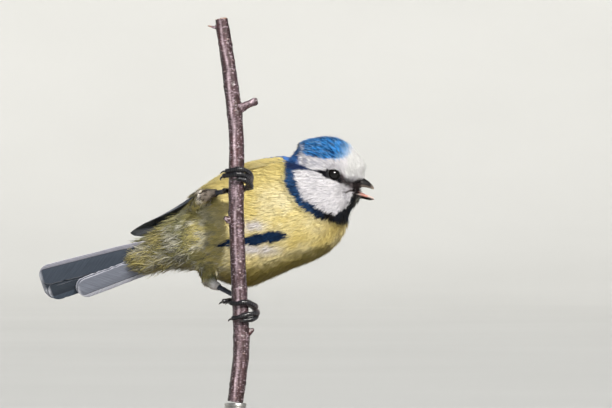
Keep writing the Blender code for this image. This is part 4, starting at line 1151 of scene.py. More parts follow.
def make_feet():
    skin = Nodes("scaly_skin", roughness=0.30, specular_ior_level=0.4)
    place = skin.place()
    cells = skin.add("ShaderNodeTexVoronoi", {"Vector": place, "Scale": 2600.0}, feature="DISTANCE_TO_EDGE").outputs["Distance"]
    skin.color(skin.mix(skin.tint(), skin.ramp(skin.noise(place, 1500, 4), [(0.3, (0.62, 0.62, 0.64)), (0.72, (1.4, 1.38, 1.36))]), 1.0, "MULTIPLY"))
    skin.bump(cells, 0.35, 0.00008)
    claw = Nodes("claw_horn", roughness=0.28, coat_weight=0.25, coat_roughness=0.15)
    claw.color(claw.ramp(claw.noise(claw.stretched(claw.place(), (900, 900, 900)), 1.0, 3), [(0.3, (0.010, 0.009, 0.010)), (0.7, (0.045, 0.040, 0.038))]))
    claws = []
    for side in ("right", "left"):
        ankle = round_twig(30, 5.3, 187.5 if side == "right" else 304.5)
        heel = HEEL[side]
        down = through([heel + (heel - ankle) * 0.06, heel * 0.94 + ankle * 0.06, heel * 0.7 + ankle * 0.3, heel * 0.3 + ankle * 0.7, ankle,
                        round_twig(22, 4.9, 186.2 if side == "right" else 305.4)], 90)
        r = np.interp(np.linspace(0, 5, 90), [0, 1, 2, 3, 4, 5], [0.75, 1.02, 0.80, 0.78, 1.0, 0.9])
        length = np.linalg.norm(np.diff(down, axis=0), axis=1).sum()
        parts = [tube_mesh(down, r, 20, plates(length, 1.7, 0.10))]
        tints = [np.tile(srgb(48, 52, 64), (len(parts[0][0]), 1))]
        for toe in TOES[side]:
            path = through([round_twig(*row) for row in toe], 110)
            x = np.linspace(0, 1, len(path))
            fleshy = x <= 0.80
            flesh = path[fleshy]
            length = np.linalg.norm(np.diff(flesh, axis=0), axis=1).sum()
            radii = (0.94 - 0.22 * x[fleshy]) * (1 + 0.11 * np.cos(x[fleshy] * 23 + 1)) * np.sqrt(np.clip((0.80 - x[fleshy]) / 0.05, 0.02, 1))
            parts.append(tube_mesh(flesh, radii, 18, plates(length, 0.62, 0.11)))
            t = np.concatenate([np.repeat(np.linspace(0, 1, len(flesh)), 18), [0, 1]])
            base = srgb(92, 84, 84) if side == "right" else srgb(112, 102, 104)
            shade = blend(np.tile(base, (len(t), 1)), srgb(15, 16, 21), ease(0.15, 0.42, t))
            plate = (t * length / 0.62) % 1.0
            # painted highlight: the raised end of each scute is paler
            shade = blend(shade, srgb(140, 138, 146), (plate > 0.72) * 0.28 * (1 - 0.5 * t))
            tints.append(shade * (0.75 + 0.5 * np.clip(noise(parts[-1][0], 0.6, 73), 0, 1))[:, None])
            horny = x >= 0.73
            nail = path[horny]
            y = np.linspace(0, 1, len(nail))
            claws.append(tube_mesh(nail, 0.44 * (1 - y) ** 0.8 + 0.05, 14))
        mesh = outward(mesh_from("foot_skin_" + side, *joined(parts)))
        paint(mesh, np.concatenate(tints))
        shown("foot_skin_" + side, mesh, skin.material, ("foot_" + side,))
    shown("claws", outward(mesh_from("claws", *joined(claws))), claw.material)


make_feet()


# ---------------------------------------------------------------- display stand
def turned_piece(name, profile, centre, material, replaces, around=128):
    """A piece turned on a lathe: profile rows (radius, height) in mm from the top's middle to the underside's."""
    turn = np.linspace(0, 2 * math.pi, around, endpoint=False)
    rings = np.array([[[centre[0] + r * math.cos(a), centre[1] + r * math.sin(a), z] for a in turn] for r, z in profile[1:-1]])
    n = len(rings)
    points = np.concatenate([rings.reshape(-1, 3), [[centre[0], centre[1], profile[0][1]], [centre[0], centre[1], profile[-1][1]]]])
    j = np.arange(around)
    k = (j + 1) % around
    caps = np.concatenate([np.stack([np.full(around, n * around), j, k], -1), np.stack([np.full(around, n * around + 1), (n - 1) * around + k, (n - 1) * around + j], -1)])
    mesh = outward(mesh_from(name, points, grid_quads(n, around, True), caps))
    mesh.set_sharp_from_angle(angle=math.radians(40))
    return shown(name, mesh, material, replaces)


def make_stand():
    wood = Nodes("oiled_wood", roughness=0.42, coat_weight=0.12, coat_roughness=0.3)
    place = wood.place()
    bent = wood.add("ShaderNodeVectorMath", {0: place, 1: wood.add("ShaderNodeTexNoise", {"Vector": place, "Scale": 14.0, "Detail": 2.0}).outputs["Color"]}, operation="ADD").outputs[0]
    grain = wood.noise(wood.stretched(bent, (14, 300, 40)), 1.0, 6, 0.6)
    pores = wood.noise(wood.stretched(place, (90, 2600, 2600)), 1.0, 3)
    tone = wood.ramp(grain, [(0.25, (0.115, 0.052, 0.022)), (0.5, (0.205, 0.105, 0.048)), (0.75, (0.29, 0.16, 0.08))])
    wood.color(wood.mix(tone, wood.ramp(pores, [(0.3, (0.66, 0.64, 0.62)), (0.48, (1, 1, 1))]), 1.0, "MULTIPLY"))
    wood.rough(wood.ramp(pores, [(0.3, (0.6, 0.6, 0.6)), (0.6, (0.38, 0.38, 0.38))]))
    wood.bump(wood.math("ADD", wood.math("MULTIPLY", grain, 0.4), pores), 0.3, 0.0002)
    rim = [(46 - 1.6 + 1.6 * math.sin(a), 10 - 1.6 + 1.6 * math.cos(a)) for a in np.linspace(0, math.pi / 2, 8)]
    foot = [(46 - 0.8 + 0.8 * math.cos(a), 0.8 - 0.8 * math.sin(a)) for a in np.linspace(0, math.pi / 2, 5)]
    turned_piece("base", [(0, 10), (12, 10), (30, 10), (41.2, 10), (41.5, 9.75), (42.1, 9.75), (42.4, 10)] + rim + foot + [(20, 0), (0, 0)], (0, 0), wood.material, ("stand_base",), 160)
    steel = Nodes("brushed_steel", roughness=0.34, metallic=1.0)
    place = steel.place()
    lines = steel.noise(steel.stretched(place, (120, 120, 9000)), 1.0, 3)
    steel.color(steel.ramp(lines, [(0.3, (0.40, 0.395, 0.38)), (0.7, (0.58, 0.575, 0.56))]))
    steel.rough(steel.ramp(lines, [(0.3, (0.26, 0.26, 0.26)), (0.7, (0.44, 0.44, 0.44))]))
    steel.bump(lines, 0.12, 0.00003)
    at, _ = twig_at(400)
    top, low = at[2] - 0.3, 10.3
    profile = [(0, top), (2.0, top), (3.4, top), (3.62, top - 0.08), (3.7, top - 0.3), (3.7, top - 1.0), (3.5, top - 1.1), (3.5, top - 1.3), (3.7, top - 1.4), (3.7, top - 3.2),
               (3.5, top - 3.5), (2.9, top - 3.9), (2.5, top - 4.2), (2.2, top - 4.7), (2.1, top - 5.2), (2.1, low + 2.6), (2.25, low + 2.2), (2.9, low + 1.8), (4.6, low + 1.45),
               (6.0, low + 1.2), (6.3, low + 0.9), (6.4, low + 0.55), (6.4, low), (3, low), (0, low)]
    turned_piece("rod", profile, (at[0], at[1]), steel.material, ("stand_rod",), 96)


make_stand()


# ---------------------------------------------------------------- flight feathers, coverts and tail
ACROSS_SHARES = np.array([-1.0, -0.91, -0.7, -0.42, -0.2, 0.0, 0.2, 0.42, 0.7, 0.91, 1.0])


class Vanes:
    """Thin closed vanes gathered into one piece, each with its own cell of the bake layout."""

    def __init__(self, cells):
        self.cells, self.parts, self.colors, self.barb, self.bake = cells, [], [], [], []

    def add(self, top, ups, offsets, along, thick, top_color, low_color):
        n, m = top.shape[:2]
        edge = 1 - 0.72 * np.linspace(-1, 1, m) ** 4
        low = top - ups * (thick * edge)[None, :, None]
        ring = np.concatenate([top, low[:, ::-1]], 1)
        count = 2 * m
        j = np.arange(count)
        k = (j + 1) % count
        caps = np.concatenate([np.stack([np.full(count, n * count), j, k], -1), np.stack([np.full(count, n * count + 1), (n - 1) * count + k, (n - 1) * count + j], -1)])
        points = np.concatenate([ring.reshape(-1, 3), [ring[0].mean(0), ring[-1].mean(0)]])
        self.parts.append((points, grid_quads(n, count, True)[:, ::-1], caps))
        colors = np.concatenate([top_color, low_color[:, ::-1]], 1)
        self.colors.append(np.concatenate([colors.reshape(-1, 3), [colors[0, m // 2], colors[-1, m // 2]]]))
        v = np.repeat(along[:, None], m, 1)
        uv = np.stack([offsets, v], -1) / 10
        uv = np.concatenate([uv, uv[:, ::-1]], 1)
        self.barb.append(np.concatenate([uv.reshape(-1, 2), [uv[0, m // 2], uv[-1, m // 2]]]))
        i = len(self.bake)
        corner = np.array([i % self.cells, i // self.cells]) / self.cells
        x = np.linspace(0, 1, m)
        down = np.repeat((0.05 + 0.9 * along / max(along[-1], 1e-6))[:, None], m, 1)
        left = np.stack([np.tile(0.04 + 0.43 * x, (n, 1)), down], -1)
        right = np.stack([np.tile(0.53 + 0.43 * x, (n, 1)), down], -1)
        cell = np.concatenate([left, right[:, ::-1]], 1)
        cell = np.concatenate([cell.reshape(-1, 2), [cell[0, m // 2], cell[-1, m // 2]]])
        self.bake.append(corner + cell / self.cells)

    def piece(self, name, material, replaces=()):
        mesh = outward(mesh_from(name, *joined(self.parts)))
        paint(mesh, np.concatenate(self.colors))
        lay_out(mesh, np.concatenate(self.bake))
        lay_out(mesh, np.concatenate(self.barb), "barb")
        return shown(name, mesh, material, replaces)


def vane_material():
    made = Nodes("vane_barbs", roughness=0.5, sheen_weight=0.1, sheen_roughness=0.4, specular_ior_level=0.2)
    split = made.add("ShaderNodeSeparateXYZ", {0: made.add("ShaderNodeUVMap", uv_map="barb").outputs["UV"]})
    lean = made.math("MULTIPLY", made.math("ABSOLUTE", split.outputs["X"]), -1.15)
    line = made.math("MULTIPLY", made.math("ADD", split.outputs["Y"], lean), 10 / 0.34)
    wave = made.math("ADD", made.math("MULTIPLY", made.math("SINE", made.math("MULTIPLY", line, 2 * math.pi)), 0.5), 0.5)
    rough = made.noise(made.add("ShaderNodeCombineXYZ", {"X": line, "Y": made.math("MULTIPLY", split.outputs["X"], 4.0)}).outputs[0], 0.55, 4)
    tint = made.mix(made.tint(), made.ramp(wave, [(0.0, (0.84, 0.84, 0.85)), (0.6, (1.03, 1.03, 1.03))]), 1.0, "MULTIPLY")
    made.color(made.mix(tint, made.ramp(rough, [(0.3, (0.78, 0.78, 0.80)), (0.62, (1.08, 1.08, 1.07))]), 1.0, "MULTIPLY"))
    made.bump(made.math("ADD", wave, rough), 0.5, 0.00006)
    return made.material


BARBS = vane_material()


def breadth(x, tip, base):
    """Width down a feather, as a share, with a round tip."""
    inner = np.clip((x - (1 - tip)) / tip, 0, 1)
    return (base + (1 - base) * ease(0, 0.42, x)) * np.sqrt(np.clip(1 - inner**2, 0, 1)).clip(0.03, 1)


def down_rows(n, tip, ends):
    return np.concatenate([np.linspace(0, 1 - tip, n, endpoint=False), 1 - tip + tip * np.sin(np.linspace(0, math.pi / 2, ends))])


def ragged(offsets, x, rng, amount):
    """Vane edges with small notches where barbs have parted."""
    out = offsets.copy()
    for side in (0, -1):
        dips = 1 - amount * rng.random(len(x)) ** 3 * 2.2
        dips[:2] = 1
        out[:, side] *= dips
    return out


def feather_colors(x, offsets, left, right, web, inner_web, fringe, shaft, tip_color=None, tip_from=0.9, fringe_share=0.8, tip_fringe=None):
    """(rows, columns, 3) colours: the outer web is on the negative side."""
    n, m = offsets.shape
    share = np.abs(ACROSS_SHARES)[None, :].repeat(n, 0)
    color = np.where((ACROSS_SHARES < 0)[None, :, None], web, inner_web) * np.ones((n, m, 1))
    color = blend(color, fringe, (share > 0.95) * fringe_share * ((ACROSS_SHARES < 0)[None, :] * 1.0 + (ACROSS_SHARES > 0)[None, :] * 0.55))
    color[:, m // 2] = shaft
    if tip_color is not None:
        color = blend(color, tip_color, ease(tip_from - 0.04, tip_from + 0.03, x + 0.03 * (1 - share[0][None, :].T.mean()))[:, None] * np.ones((1, m)))
    if tip_fringe is not None:
        color = blend(color, tip_fringe, ease(0.975, 0.995, x)[:, None] * np.ones((1, m)) * 0.85)
    return color


def make_tail():
    rng = np.random.default_rng(81)
    tail = Vanes(4)
    for side in (1, -1):
        for k in range(1, 7):
            if side > 0:
                root, tip, wide = body(3, 0.35 * k, 0.4 - 0.3 * k), body(-49.6, 4.9 - (6 - k) * 1.2, 0.6 - 0.3 * k), 3.7
            else:
                length = (49.6, 49.5, 49.1, 48.3, 39.1, 38.6)[k - 1]
                drop = (0.2, -0.1, -0.5, -1.0, -1.6, -2.2)[k - 1]
                across = (-0.8, -1.1, -1.4, -1.8, -3.35, -3.8)[k - 1]
                root, tip, wide = body(3, -0.2 * k, 0.4 - 0.3 * k), body(-length, across, drop), 3.6
            along = unit(tip - root)
            long_ = np.linalg.norm(tip - root)
            out = np.cross(DORSAL, along)
            out = unit(out) * np.sign(out @ RIGHT) * side
            up = unit(np.cross(along, out))
            up = up * np.sign(up @ DORSAL)
            x = down_rows(34, wide / long_, 12)
            w = breadth(x, wide / long_, 0.42) * wide
            # the outer web narrows in the outer feathers, whose shaft lies near the leading edge
            lead = (0.86, 0.72, 0.62, 0.55, 0.48, 0.4)[k - 1]
            shaft_at = wide * (1 - lead) * ease(0.1, 0.5, x) * np.minimum(1, w / wide * 1.2)
            left, right = w - shaft_at, w + shaft_at
            offsets = np.where(ACROSS_SHARES[None] < 0, ACROSS_SHARES[None] * left[:, None], ACROSS_SHARES[None] * right[:, None])
            offsets = ragged(offsets, x, rng, 0.05)
            offsets[:, 4], offsets[:, 6] = np.maximum(offsets[:, 4], -0.16), np.minimum(offsets[:, 6], 0.16)
            place = shaft_at[:, None] - offsets  # towards the outside
            path = root + np.outer(x * long_, along)
            lift = 0.10 * (np.abs(offsets) < 0.05) - 0.010 * offsets**2 - 0.12 + 0.07 * np.sin(offsets * 2.1 + k) * ease(0.3, 1, x)[:, None]
            bend = 0.9 * np.sin(x * math.pi) * 0.25
            top = path[:, None] + out * place[..., None] + up * (lift + bend[:, None])[..., None]
            ups = np.tile(up, top.shape[:2] + (1,))
            above = feather_colors(x, offsets, left, right, srgb(82, 118, 178), srgb(70, 84, 110), srgb(150, 172, 206), srgb(40, 44, 54), tip_fringe=srgb(178, 190, 210))
            # painted sheen: below, the two outer left feathers are a lighter grey than the right ones, and so is the
            # left outermost's outer web
            if side > 0:
                web, inner = srgb(100, 106, 120), srgb(64, 72, 84)
            else:
                web, inner = (srgb(132, 136, 146), srgb(120, 125, 138)) if k >= 5 else (srgb(62, 72, 84), srgb(52, 60, 70))
            below = feather_colors(x, offsets, left, right, web, inner, srgb(176, 180, 192), srgb(48, 50, 58), tip_fringe=srgb(190, 192, 202))
            if k == 6:
                outer_web = (ACROSS_SHARES < -0.05)[None, :] * ease(0.04, 0.2, x)[:, None]
                above = blend(above, srgb(226, 228, 236), outer_web * 0.9)
                thin = (ACROSS_SHARES < -0.95)[None, :] * ease(0.04, 0.2, x)[:, None]
                below = blend(blend(below, srgb(146, 146, 158) if side > 0 else srgb(160, 162, 172), outer_web), srgb(214, 212, 222), thin)
            if side < 0 and k >= 5:
                below = blend(below, srgb(206, 206, 218), ((ACROSS_SHARES > 0.95)[None, :] * np.ones((len(x), 1))) * 0.9)
            tail.add(top, ups, offsets, x * long_, 0.15, above, below)
    tail.piece("tail_feathers", BARBS, ("tail",))


make_tail()


def wing_at(s, t, side, lift):
    """Places and normals on the wing at distance s forward and share t across, and mm per unit of t."""
    low, middle, high = wing_row(s, side)
    inside = np.clip(t, 0, 1)
    q = inside[..., None]
    p = low * (1 - q) * (1 - 2 * q) + middle * 4 * q * (1 - q) + high * q * (2 * q - 1)
    d = low * (4 * q - 3) + middle * (4 - 8 * q) + high * (4 * q - 1)
    p = p + d * (t - inside)[..., None]
    rate = np.linalg.norm(d, axis=-1)
    normal = np.stack([-d[..., 1], d[..., 0]], -1) / rate[..., None]
    normal = normal * np.where((normal * p).sum(-1) < 0, -1, 1)[..., None]
    p = p + normal * np.asarray(lift)[..., None]
    place = ROOT + s[..., None] * FORWARD + side * p[..., :1] * RIGHT + p[..., 1:] * DORSAL
    return place, side * normal[..., :1] * RIGHT + normal[..., 1:] * DORSAL, rate


def lay_vane(wing, side, line, left, right, lifts, thick, rng, tones, tip=0.12, base=0.5, rows=(16, 7), cut=0.05, ruffle=0.04):
    """One feather laid on the wing. line: (s, t) from root to tip; left is the outer web's width."""
    x = down_rows(rows[0], tip, rows[1])
    track = through(line, 40)
    s = np.interp(x, np.linspace(0, 1, 40), track[:, 0])
    t = np.interp(x, np.linspace(0, 1, 40), track[:, 1])
    shape = breadth(x, tip, base)
    l, r = left * shape, right * shape
    offsets = np.where(ACROSS_SHARES[None] < 0, ACROSS_SHARES[None] * l[:, None], ACROSS_SHARES[None] * r[:, None])
    offsets = ragged(offsets, x, rng, cut)
    offsets[:, 4], offsets[:, 6] = np.maximum(offsets[:, 4], -0.14), np.minimum(offsets[:, 6], 0.14)
    grid_s = np.repeat(s[:, None], len(ACROSS_SHARES), 1)
    _, _, rate = wing_at(s, t, side, np.zeros(len(s)))
    lift = np.interp(x, [0, 0.35, 1], [lifts[0], 0.5 * (lifts[0] + lifts[1]), lifts[1]])[:, None] + 0.07 * (np.abs(offsets) < 0.05)
    lift = lift + ruffle * np.sin(offsets * 2.3 + rng.uniform(0, 6)) * ease(0.3, 1, x)[:, None] - 0.03 * np.abs(ACROSS_SHARES)[None] ** 2
    top, ups, _ = wing_at(grid_s, t[:, None] + offsets / np.maximum(rate, 1.2)[:, None], side, lift)
    length = np.concatenate([[0], np.cumsum(np.linalg.norm(np.diff(top[:, len(ACROSS_SHARES) // 2], axis=0), axis=1))])
    bright = rng.normal(1, 0.05)
    above = feather_colors(x, offsets, l, r, tones["web"], tones["inner"], tones["fringe"], tones["shaft"], tones.get("tip"), tones.get("tip_from", 0.9), tones.get("fringe_share", 0.8), tones.get("tip_fringe")) * bright
    below = feather_colors(x, offsets, l, r, tones["below"], tones["below"] * 0.8, tones["below"] * 1.5, tones["below"] * 0.5) * bright
    wing.add(top, ups, offsets, length, thick, above, below)


PRIMARY = {"web": srgb(88, 94, 108), "inner": srgb(58, 60, 66), "fringe": srgb(150, 156, 168), "shaft": srgb(34, 34, 40), "below": srgb(92, 95, 102), "tip_fringe": srgb(170, 174, 182)}
SECONDARY = {"web": srgb(76, 114, 178), "inner": srgb(62, 74, 100), "fringe": srgb(178, 196, 200), "shaft": srgb(34, 36, 46), "below": srgb(100, 104, 112), "tip_fringe": srgb(214, 220, 226)}
TERTIAL = {"web": srgb(92, 116, 160), "inner": srgb(88, 106, 142), "fringe": srgb(196, 208, 216), "shaft": srgb(40, 44, 54), "below": srgb(100, 104, 112), "tip": srgb(236, 238, 242), "tip_from": 0.93}
GREATER = {"web": srgb(68, 112, 190), "inner": srgb(58, 92, 152), "fringe": srgb(104, 146, 210), "shaft": srgb(36, 54, 96), "below": srgb(100, 104, 112), "tip": srgb(236, 240, 246), "tip_from": 0.88}
MEDIAN = {"web": srgb(74, 124, 200), "inner": srgb(56, 100, 172), "fringe": srgb(132, 172, 224), "shaft": srgb(40, 70, 130), "below": srgb(90, 94, 104)}
PRIMARY_COVERT = {"web": srgb(58, 84, 144), "inner": srgb(42, 54, 86), "fringe": srgb(92, 124, 184), "shaft": srgb(26, 32, 50), "below": srgb(80, 84, 94)}
SCAPULAR = {"web": srgb(124, 138, 104), "inner": srgb(116, 130, 104), "fringe": srgb(146, 158, 122), "shaft": srgb(96, 108, 84), "below": srgb(110, 114, 100)}


def make_wing(side, name):
    rng = np.random.default_rng(90 + side)
    # the thickness of the folded wing under its feathers
    rings = []
    for s in np.linspace(41.5, -7, 40):
        shrink = 1 - 0.75 * float(ease(2, -7, s)) if s < 2 else 1.0
        thick = float(np.interp(s, [-16.4, -12, -6, 5, 18, 29, 40, 44.5], [0.7, 1.1, 1.5, 2.0, 2.3, 2.4, 2.2, 1.0]))
        t = np.linspace(0.03, 0.97, 15)
        deep = thick * (0.35 + 0.65 * np.sin(math.pi * t)) * 0.97
        outer = wing_at(np.full(15, s), t, side, np.full(15, -0.42))[0]
        inner = wing_at(np.full(15, s), t, side, -0.42 - (deep - 0.42) * (1 if s > 2 else 1 - 0.8 * float(ease(0, 1, (2 - s) / 9))))[0]
        rings.append(np.concatenate([outer, inner[::-1]]))
    rings = np.array(rings)
    n, m = rings.shape[:2]
    j = np.arange(m)
    k = (j + 1) % m
    caps = np.concatenate([np.stack([np.full(m, n * m), j, k], -1), np.stack([np.full(m, n * m + 1), (n - 1) * m + k, (n - 1) * m + j], -1)])
    points = np.concatenate([rings.reshape(-1, 3), [rings[0].mean(0), rings[-1].mean(0)]])
    mesh = outward(mesh_from("wing_inside_" + name, points, grid_quads(n, m, True), caps))
    paint(mesh, blend(np.tile(srgb(70, 76, 88), (len(points), 1)), srgb(98, 100, 104), np.clip(0.5 + noise(points, 1.2, 91), 0, 1)))
    shown("wing_inside_" + name, mesh, PLUME, ("wing_" + name,))

    wing = Vanes(14)
    # primaries, outermost first: tips step back to the wing point and forward again
    tips = ((-7.5, 0.02), (-13.0, 0.10), (-15.6, 0.26), (-16.2, 0.45), (-15.0, 0.60), (-12.2, 0.70), (-9.6, 0.76), (-7.2, 0.80), (-4.8, 0.84))
    for i, (s, t) in enumerate(tips):
        line = ((38, 0.05 + 0.015 * i), (22, 0.035 + 0.022 * i), (8, 0.03 + 0.045 * i), (-2, 0.5 * (0.03 + 0.065 * i + t)), (s, t))
        lay_vane(wing, side, line, 0.75 if i == 0 else 1.15, 2.9, (-0.34 + 0.02 * i, -0.30 + 0.075 * i), 0.12, rng, PRIMARY, tip=0.10, base=0.6, rows=(30, 9))
    for i in range(6):
        s = 0.5 + 1.3 * i
        line = ((37, 0.16 + 0.05 * i), (24, 0.22 + 0.06 * i), (12, 0.36 + 0.065 * i), (s, 0.60 + 0.05 * i))
        lay_vane(wing, side, line, 1.7, 3.2, (-0.22 + 0.02 * i, 0.16 + 0.05 * i), 0.12, rng, SECONDARY, tip=0.10, base=0.6, rows=(24, 8))
    for i in range(3):
        line = ((36, 0.58 + 0.09 * i), (26, 0.66 + 0.08 * i), (16, 0.74 + 0.07 * i), (5.5 + 3.6 * i, 0.84 + 0.05 * i))
        lay_vane(wing, side, line, 2.5, 2.7, (-0.1, 0.46 + 0.1 * i), 0.13, rng, TERTIAL, tip=0.17, base=0.55, rows=(20, 9))
    for i in range(6):
        line = ((41, 0.06 + 0.02 * i), (32, 0.05 + 0.025 * i), (20 + 1.1 * i, 0.04 + 0.036 * i))
        lay_vane(wing, side, line, 0.9, 1.4, (0.0 + 0.03 * i, 0.28 + 0.05 * i), 0.11, rng, PRIMARY_COVERT, tip=0.12, base=0.5, rows=(14, 7))
    for i in range(3):
        line = ((42.5, 0.07 + 0.02 * i), (36, 0.07 + 0.025 * i), (31.5 - 2.2 * i, 0.06 + 0.035 * i))
        lay_vane(wing, side, line, 0.9, 1.3, (0.35, 0.60 + 0.06 * (2 - i)), 0.12, rng, PRIMARY_COVERT, tip=0.16, base=0.5, rows=(12, 7))
    for i in range(10):
        t = 0.15 + 0.085 * i
        line = ((38, t - 0.03), (31, t), (22.2 + 0.25 * i + rng.uniform(-0.4, 0.4), t + 0.02))
        lay_vane(wing, side, line, 1.5, 1.75, (0.05 + 0.02 * i, 0.52 + 0.03 * i), 0.12, rng, GREATER, tip=0.14, base=0.6, rows=(14, 8))
    for i in range(11):
        t = 0.10 + 0.084 * i
        line = ((40, t - 0.03), (35, t), (30.0 + rng.uniform(-0.4, 0.4), t + 0.02))
        lay_vane(wing, side, line, 1.35, 1.45, (0.25, 0.76 + 0.02 * i), 0.12, rng, MEDIAN, tip=0.22, base=0.6, rows=(10, 7))
    for row, s in enumerate((34.0, 36.3, 38.5, 40.6, 42.4)):
        count = 13 - row
        for i in range(count):
            t = 0.04 + (0.94 / count) * (i + 0.5 * (row % 2)) + rng.uniform(-0.01, 0.01)
            line = ((s + 5.0, t - 0.01), (s + 2.4, t), (s + rng.uniform(-0.35, 0.35), t + 0.01))
            lay_vane(wing, side, line, 1.1, 1.15, (0.40, 0.92 + 0.03 * row), 0.11, rng, MEDIAN, tip=0.32, base=0.6, rows=(6, 6))
    for row in range(2):
        for i in range(9):
            s = 38 - 3.4 * i - 1.7 * row
            line = ((s + 7, 1.12 - 0.07 * row), (s + 2, 1.07 - 0.09 * row), (s - 4.0 + rng.uniform(-0.5, 0.5), 1.02 - 0.11 * row))
            lay_vane(wing, side, line, 2.0, 2.0, (0.2, 0.95 + 0.06 * (1 - row)), 0.12, rng, SCAPULAR, tip=0.25, base=0.6, rows=(9, 7), cut=0.12)
    wing.piece("wing_feathers_" + name, BARBS, ("wing_" + name,))


make_wing(1, "right")
make_wing(-1, "left")


# ---------------------------------------------------------------- plumes that lie over other pieces
def loose_plumes(name, paths, ups, sides, width, colors, at, material, shape=STRAND):
    """Flat tapering plumes along given centre lines: paths (rows + 1, n, 3)."""
    rows = len(shape)
    out, tints, uvs = [], [], []
    for i in range(rows + 1):
        shade = colors * (0.72 + 0.28 * (i / rows))
        if i == rows:
            out.append(paths[i][:, None])
            tints.append(shade[:, None])
            uvs.append((at + [0, 0.0015])[:, None])
            continue
        half = (width * shape[i] / 2)[:, None]
        out.append(np.stack([paths[i] - sides[i] * half, paths[i] + sides[i] * half], 1))
        tints.append(np.stack([shade, shade], 1))
        uvs.append(np.stack([at + [x, -0.0015 + 0.003 * i / rows] for x in (-0.0014, 0.0014)], 1))
    out = np.concatenate(out, 1)
    per, n = out.shape[1], out.shape[0]
    first = (np.arange(n) * per)[:, None, None]
    quads = np.array([[i * 2, i * 2 + 1, (i + 1) * 2 + 1, (i + 1) * 2] for i in range(rows - 1)])
    tris = np.array([[(rows - 1) * 2, (rows - 1) * 2 + 1, per - 1]])
    mesh = mesh_from(name, out.reshape(-1, 3), (first + quads).reshape(-1, 4), (first + tris).reshape(-1, 3))
    paint(mesh, np.concatenate(tints, 1).reshape(-1, 3))
    lay_out(mesh, np.clip(np.concatenate(uvs, 1).reshape(-1, 2), 0.003, 0.997))
    return shown(name, mesh, material)


def make_flanks():
    """Flank plumes laid over the lower edge of each folded wing, and mantle plumes over its upper edge."""
    paths, sides_, widths, colors, at = [], [], [], [], []
    for side in (1, -1):
        rng = np.random.default_rng(110 + side)
        for kind, n in (("flank", 5200), ("mantle", 5200)):
            s = rng.uniform(10, 43, n) if kind == "flank" else rng.uniform(-4, 43, n)
            if kind == "flank":
                reach = np.interp(s, [10, 16, 30, 44], [0.02, 0.06, 0.085, 0.13])
                t = rng.uniform(-0.22, 1.0, n) * reach * np.where(rng.random(n) < 0.5, 1, 0.6)
                t = np.where(t < 0, t * 6, t).clip(-0.22, 0.3)
                drift = rng.normal(0.010, 0.012, n)
                rise = rng.uniform(0.5, 1.0, n)
            else:
                t = rng.uniform(0.95, 1.22, n) + 0.05 * (s < 18)
                drift = rng.normal(-0.02, 0.012, n)
                rise = rng.uniform(0.8, 1.35, n)
            length = rng.uniform(3.0, 5.2, n)
            rows = []
            cross = []
            for i in range(4):
                u = i / 3
                place, up, _ = wing_at(s - length * u, t + drift * 3 * u, side, np.where(t < 0, 0.25 + 2.2 * t, 0.25) + rise * u**0.7)
                rows.append(place)
                cross.append(up)
            rows = np.array(rows)
            ahead = unit(np.gradient(rows, axis=0))
            paths.append(rows)
            sides_.append(unit(np.cross(np.array(cross), ahead)))
            widths.append(rng.uniform(0.24, 0.42, n) if kind == "flank" else rng.uniform(0.35, 0.7, n))
            if kind == "flank":
                tone = plumage(np.where((rows[0][:, :1] / UNIT + GX0 > 281), rows[0] - FORWARD * 5, rows[0]) - DORSAL * 9)
            else:
                tone = blend(np.tile(MANTLE, (n, 1)), srgb(146, 156, 118), np.clip(0.5 + 1.2 * noise(rows[0], 1.4, 111), 0, 1))
                tone = blend(tone, RUMP, 1 - ease(-4, 12, s))
            colors.append(tone * (1 + rng.normal(0, 0.12 if kind == "flank" else 0.22, n)).clip(0.5, 1.5)[:, None])
            at.append(body_unwrap(rows[0]))
    loose_plumes("coat_flanks", np.concatenate(paths, 1), None, np.concatenate(sides_, 1), np.concatenate(widths), np.concatenate(colors), np.concatenate(at), PLUME)


make_flanks()


def make_extra_coat():
    """Fuller plumage on the back, the vent, the crown's back edge and the chin."""
    points, normals = scatter(60000, 120)
    s, a, c = in_body(points)
    gx, gy = on_grid(points)
    zone = outline_distance(HEAD_ZONE, gx, gy)
    round_ = np.degrees(np.arctan2(np.abs(a), -c))
    rng = np.random.default_rng(121)
    back = (round_ > 128) & (s > -14) & (s < 50) & (zone > 1.5)
    part = np.flatnonzero(back)[:5200]
    plumes("coat_mantle", (points[part], normals[part]), rng.uniform(3.6, 5.6, len(part)), rng.uniform(0.6, 1.1, len(part)), rng.uniform(1.3, 2.2, len(part)),
           VANE, 3, PLUME, body_unwrap, 122, wander=0.16, bright=0.2, loose=0.25, roll=0.15, dusk=0.6)
    vent = (s < 3) & (s > -20) & (round_ < 120)
    part = np.flatnonzero(vent)[:5200]
    plumes("coat_vent", (points[part], normals[part]), rng.uniform(4.0, 7.5, len(part)), rng.uniform(0.16, 0.34, len(part)), rng.uniform(0.9, 2.3, len(part)),
           DOWN, 2, PLUME, body_unwrap, 123, wander=0.42, bright=0.2, loose=0.4, roll=0.5)
    f, side, z = in_head(points)
    crown = (outline_distance(CAP_ZONE, gx, gy) < 1) & (gx < 342)
    part = np.flatnonzero(crown)[:1500]
    plumes("coat_crown", (points[part], normals[part]), rng.uniform(2.2, 3.6, len(part)), rng.uniform(0.15, 0.28, len(part)), rng.uniform(0.55, 1.05, len(part)),
           DOWN, 2, PLUME, head_unwrap, 124, wander=0.2, bright=0.26, loose=0.35, roll=0.3)
    edge = (zone < 2.5) & (zone > -11) & (gy > 178) & (outline_distance(WHITE_ZONE, gx, gy) > -2.2)
    part = np.flatnonzero(edge)[:2200]
    plumes("coat_collar", (points[part], normals[part]), rng.uniform(1.6, 3.0, len(part)), rng.uniform(0.12, 0.22, len(part)), rng.uniform(0.6, 1.15, len(part)),
           STRAND, 2, PLUME, head_unwrap, 125, wander=0.35, bright=0.2, loose=0.35, roll=0.4)


make_extra_coat()

